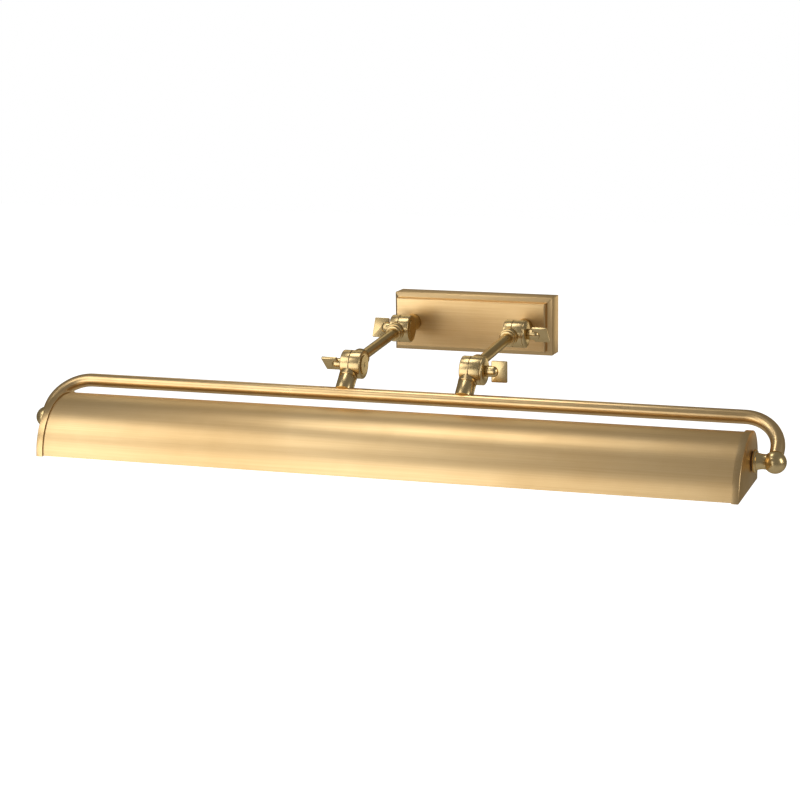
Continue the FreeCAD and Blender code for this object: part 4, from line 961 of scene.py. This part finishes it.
class PICTURELIGHT_OT_lamps(bpy.types.Operator):
    """Make the lampholders and lamps, and finish the wiring tray"""
    bl_idname = "picturelight.lamps"
    bl_label = "Lamps and Tray"

    def execute(self, context):
        bases = bmesh.new()
        for number in range(1, 5):
            low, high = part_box("lampholder_%d" % number)
            way = 1 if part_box("lamp_glass_%d" % number)[0].x > low.x else -1
            axis = X_AXIS * way
            mouth = Vector((high.x if way > 0 else low.x, (low.y + high.y) / 2, (low.z + high.z) / 2))
            back = mouth - axis * HOLDER_LENGTH * MM
            finished(solid(turned, scaled(HOLDER), back, axis), "lampholder_%d_moulded" % number,
                     "lamp_shade", "lampholder_moulding")
            finished(solid(turned, glass_profile(), mouth + axis * GLASS_GAP * MM, axis),
                     "lamp_glass_%d_blown" % number, "lamp_shade", "clear_glass")
            turned(bases, scaled(BASE_FOOT + BASE_THREADS + BASE_RIM), mouth, axis, 48)
        finished(bases, "lamp_bases_rolled", "lamp_shade", "lamp_base_metal")
        recoat("white_enamel", "wiring_tray")
        recoat("zinc_steel", "holder_brackets", "end_cap_screws", "pivot_nuts")
        return {"FINISHED"}


# ---------------------------------------------------------------- wall plate
STUD_HOLE_RADIUS = 4.05 * MM


def plate_shell():
    """Stepped cover: a block inset to a bevel and a shelf, its panel raised, hollowed from behind."""
    p = settings_of("plate")
    low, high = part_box("wall_plate")
    bm = bmesh.new()
    block(bm, (low.x, -p.side_depth, low.z), (high.x, 0, high.z))
    front = [f for f in bm.faces if f.normal.y < -0.9]
    for width, depth in ((p.bevel_width, p.bevel_depth), (p.shelf, 0)):
        bmesh.ops.inset_region(bm, faces=front, thickness=width, depth=depth, use_even_offset=True,
                               use_boundary=True)
    made = bmesh.ops.extrude_face_region(bm, geom=front)["geom"]
    bmesh.ops.translate(bm, vec=(0, -p.panel_rise, 0), verts=moved(made, bmesh.types.BMVert))
    bmesh.ops.delete(bm, geom=[f for f in front if f.is_valid], context="FACES_ONLY")
    closed(bm)
    edge = -p.side_depth - p.bevel_depth - p.panel_rise
    soften(bm, p.panel_round, 5, lambda e: all(abs(v.co.y - edge) < 1e-5 for v in e.verts))
    soften(bm, p.edge_round, 3, lambda e: max(v.co.y for v in e.verts) > -p.side_depth - 1e-5,
           angle=25)
    steps = []
    for inset, depth in ((p.wall, -p.side_depth), (p.bevel_width + p.shelf + p.wall, edge + p.wall)):
        steps.append(("DIFFERENCE", solid(block, (low.x + inset, depth, low.z + inset),
                                          (high.x - inset, OVERSHOOT, high.z - inset))))
    for side in SIDES.values():
        start = Vector((stem_x(side), edge - OVERSHOOT, WALL_KNUCKLE.z))
        steps.append(("DIFFERENCE", solid(cylinder, start, Y_AXIS, STUD_HOLE_RADIUS,
                                          p.wall + 2 * OVERSHOOT)))
    return carved(bm, steps)


class PICTURELIGHT_OT_plate(bpy.types.Operator):
    """Make the wall plate and finish what is inside it"""
    bl_idname = "picturelight.plate"
    bl_label = "Wall Plate"

    def execute(self, context):
        finished(plate_shell(), "wall_plate_pressed", "wall_mount", "plate_brass",
                 sharp=28)
        recoat("zinc_steel", "wall_bracket", "boss_nuts", "boss_washers", "earth_terminal",
               "cover_screws")
        recoat("turned_brass", "terminal_screws")
        recoat("terminal_moulding", "terminal_block")
        recoat("black_rubber", "inlet_grommet")
        return {"FINISHED"}


# ---------------------------------------------------------------- stage
AIM = Vector((0, -0.25, -0.03))
# Of each soft box: its place, width, height and power in watts.
SOFTBOXES = {
    "key_left": ((-1.0, -1.2, 1.1), 1.0, 1.0, 6.5),
    "front_low": ((-0.8, -1.8, -0.1), 1.5, 1.3, 11.5),
    "fill_right": ((1.9, -0.6, 0.5), 0.6, 1.0, 7),
    "overhead": ((-0.35, -0.15, 1.3), 0.6, 0.4, 2.8),
    "rim_back": ((0.38, 1.3, -0.12), 0.4, 0.4, 0.6),
    "top_back": ((-0.7, 1.3, 1.0), 1.0, 0.5, 1.6),
}
CAMERA_PLACE = (0.68873, -2.19731, 0.36858)
CAMERA_AHEAD = Vector((-0.32665758, 0.92542282, -0.19206101))
CAMERA_ACROSS = Vector((0.9436209, 0.33085411, -0.01073089))
CAMERA_LENS, CAMERA_SENSOR = 103.26, 36.0
FLOOR_Z, FLOOR_SIZE = -0.62, 6.0
STUDIO_LEVEL = 0.22     # the world where metal mirrors it or it lights the object


def softbox(name, place, width, height, watts):
    """Rectangular area light aimed at the object."""
    data = bpy.data.lights.new(name, "AREA")
    data.shape = "RECTANGLE"
    data.size, data.size_y = width, height
    data.energy = watts
    lamp = bpy.data.objects.new(name, data)
    lamp.location = place
    lamp.rotation_mode = "QUATERNION"
    lamp.rotation_quaternion = (AIM - Vector(place)).to_track_quat("-Z", "Y")
    bpy.context.scene.collection.objects.link(lamp)


class PICTURELIGHT_OT_stage(bpy.types.Operator):
    """Make the floor, the studio lights, the world and the camera"""
    bl_idname = "picturelight.stage"
    bl_label = "Stage"

    def execute(self, context):
        scene = context.scene
        bm = bmesh.new()
        bmesh.ops.create_grid(bm, x_segments=1, y_segments=1, size=FLOOR_SIZE)
        bmesh.ops.translate(bm, vec=(0, 0, FLOOR_Z), verts=bm.verts)
        floor = mesh_object(bm, "studio_floor")
        floor.data.materials.append(self.floor_finish())
        self.world(scene)
        for name, settings in SOFTBOXES.items():
            softbox(name, *settings)
        camera = bpy.data.cameras.new("camera")
        camera.sensor_width = CAMERA_SENSOR
        camera.lens = CAMERA_LENS
        camera.clip_start, camera.clip_end = 0.05, 60.0
        holder = bpy.data.objects.new("camera", camera)
        up = CAMERA_ACROSS.cross(CAMERA_AHEAD)
        turn = Matrix((CAMERA_ACROSS, up, -CAMERA_AHEAD)).transposed()
        holder.matrix_world = Matrix.Translation(CAMERA_PLACE) @ turn.to_4x4()
        scene.collection.objects.link(holder)
        scene.camera = holder
        scene.view_settings.view_transform = "Standard"
        return {"FINISHED"}

    @staticmethod
    def floor_finish():
        """Pale floor that keeps shadows, reads white to the camera and is clear from below."""
        made, shader = material("studio_floor")
        tree = made.node_tree
        rays = node(tree, "LightPath")
        place = node(tree, "TexCoord")
        mottle = node(tree, "TexNoise", {"Vector": place.outputs["Object"], "Scale": 3.0})
        level = node(tree, "MapRange", {"Value": mottle, "To Min": 0.80, "To Max": 0.84})
        feed(tree, shader, {"Base Color": level, "Roughness": 0.9, "Specular IOR Level": 0.0,
                            "Emission Color": (1, 1, 1, 1),
                            "Emission Strength": rays.outputs["Is Camera Ray"]})
        behind = node(tree, "NewGeometry")
        clear = node(tree, "BsdfTransparent")
        mix = node(tree, "MixShader", {0: behind.outputs["Backfacing"], 1: shader, 2: clear})
        feed(tree, tree.nodes["Material Output"], {"Surface": mix})
        return made

    @staticmethod
    def world(scene):
        """White to the camera and in glass, softer where metal mirrors it or it lights the object."""
        world = bpy.data.worlds.new("studio")
        world.use_nodes = True
        tree = world.node_tree
        rays = node(tree, "LightPath").outputs
        seen = node(tree, "Math", {0: rays["Is Camera Ray"], 1: rays["Is Transmission Ray"]},
                    operation="MAXIMUM")
        level = node(tree, "MapRange", {"Value": seen, "To Min": STUDIO_LEVEL, "To Max": 1.0})
        feed(tree, tree.nodes["Background"], {"Strength": level, "Color": (1, 1, 1, 1)})
        scene.world = world


class PICTURELIGHT_PT_panel(bpy.types.Panel):
    """Pieces of the picture light and their sizes"""
    bl_idname = "PICTURELIGHT_PT_panel"
    bl_label = "Picture Light"
    bl_space_type = "VIEW_3D"
    bl_region_type = "UI"
    bl_category = "Picture Light"

    def draw(self, context):
        for operator in OPERATORS:
            self.layout.operator(operator.bl_idname)
        for name in GROUPS:
            settings = getattr(context.scene, name)
            box = self.layout.box()
            box.label(text=name.replace("_", " ").capitalize())
            for field in settings.bl_rna.properties:
                if field.identifier not in ("rna_type", "name"):
                    box.prop(settings, field.identifier)


GROUPS = {"picture_light_plate": PictureLightPlate, "picture_light_knuckle": PictureLightKnuckle,
          "picture_light_key": PictureLightKey, "picture_light_arm": PictureLightArm,
          "picture_light_rail": PictureLightRail, "picture_light_shade": PictureLightShade,
          "picture_light_finish": PictureLightFinish}
OPERATORS = (PICTURELIGHT_OT_plate, PICTURELIGHT_OT_eyes, PICTURELIGHT_OT_sleeves,
             PICTURELIGHT_OT_screws, PICTURELIGHT_OT_keys, PICTURELIGHT_OT_arms,
             PICTURELIGHT_OT_rail, PICTURELIGHT_OT_ends, PICTURELIGHT_OT_sheet,
             PICTURELIGHT_OT_caps, PICTURELIGHT_OT_lamps, PICTURELIGHT_OT_stage)


def register():
    """Register the settings, operators and panel."""
    for name, group in GROUPS.items():
        bpy.utils.register_class(group)
        setattr(bpy.types.Scene, name, bpy.props.PointerProperty(type=group))
    for cls in (*OPERATORS, PICTURELIGHT_PT_panel):
        bpy.utils.register_class(cls)


def unregister():
    """Undo register."""
    for cls in (PICTURELIGHT_PT_panel, *reversed(OPERATORS)):
        bpy.utils.unregister_class(cls)
    for name, group in GROUPS.items():
        delattr(bpy.types.Scene, name)
        bpy.utils.unregister_class(group)


def main():
    """Build every piece."""
    register()
    bpy.ops.picturelight.plate()
    bpy.ops.picturelight.eyes()
    bpy.ops.picturelight.sleeves()
    bpy.ops.picturelight.screws()
    bpy.ops.picturelight.keys()
    bpy.ops.picturelight.arms()
    bpy.ops.picturelight.rail()
    bpy.ops.picturelight.ends()
    bpy.ops.picturelight.sheet()
    bpy.ops.picturelight.caps()
    bpy.ops.picturelight.lamps()
    bpy.ops.picturelight.stage()


if __name__ == "__main__":
    main()
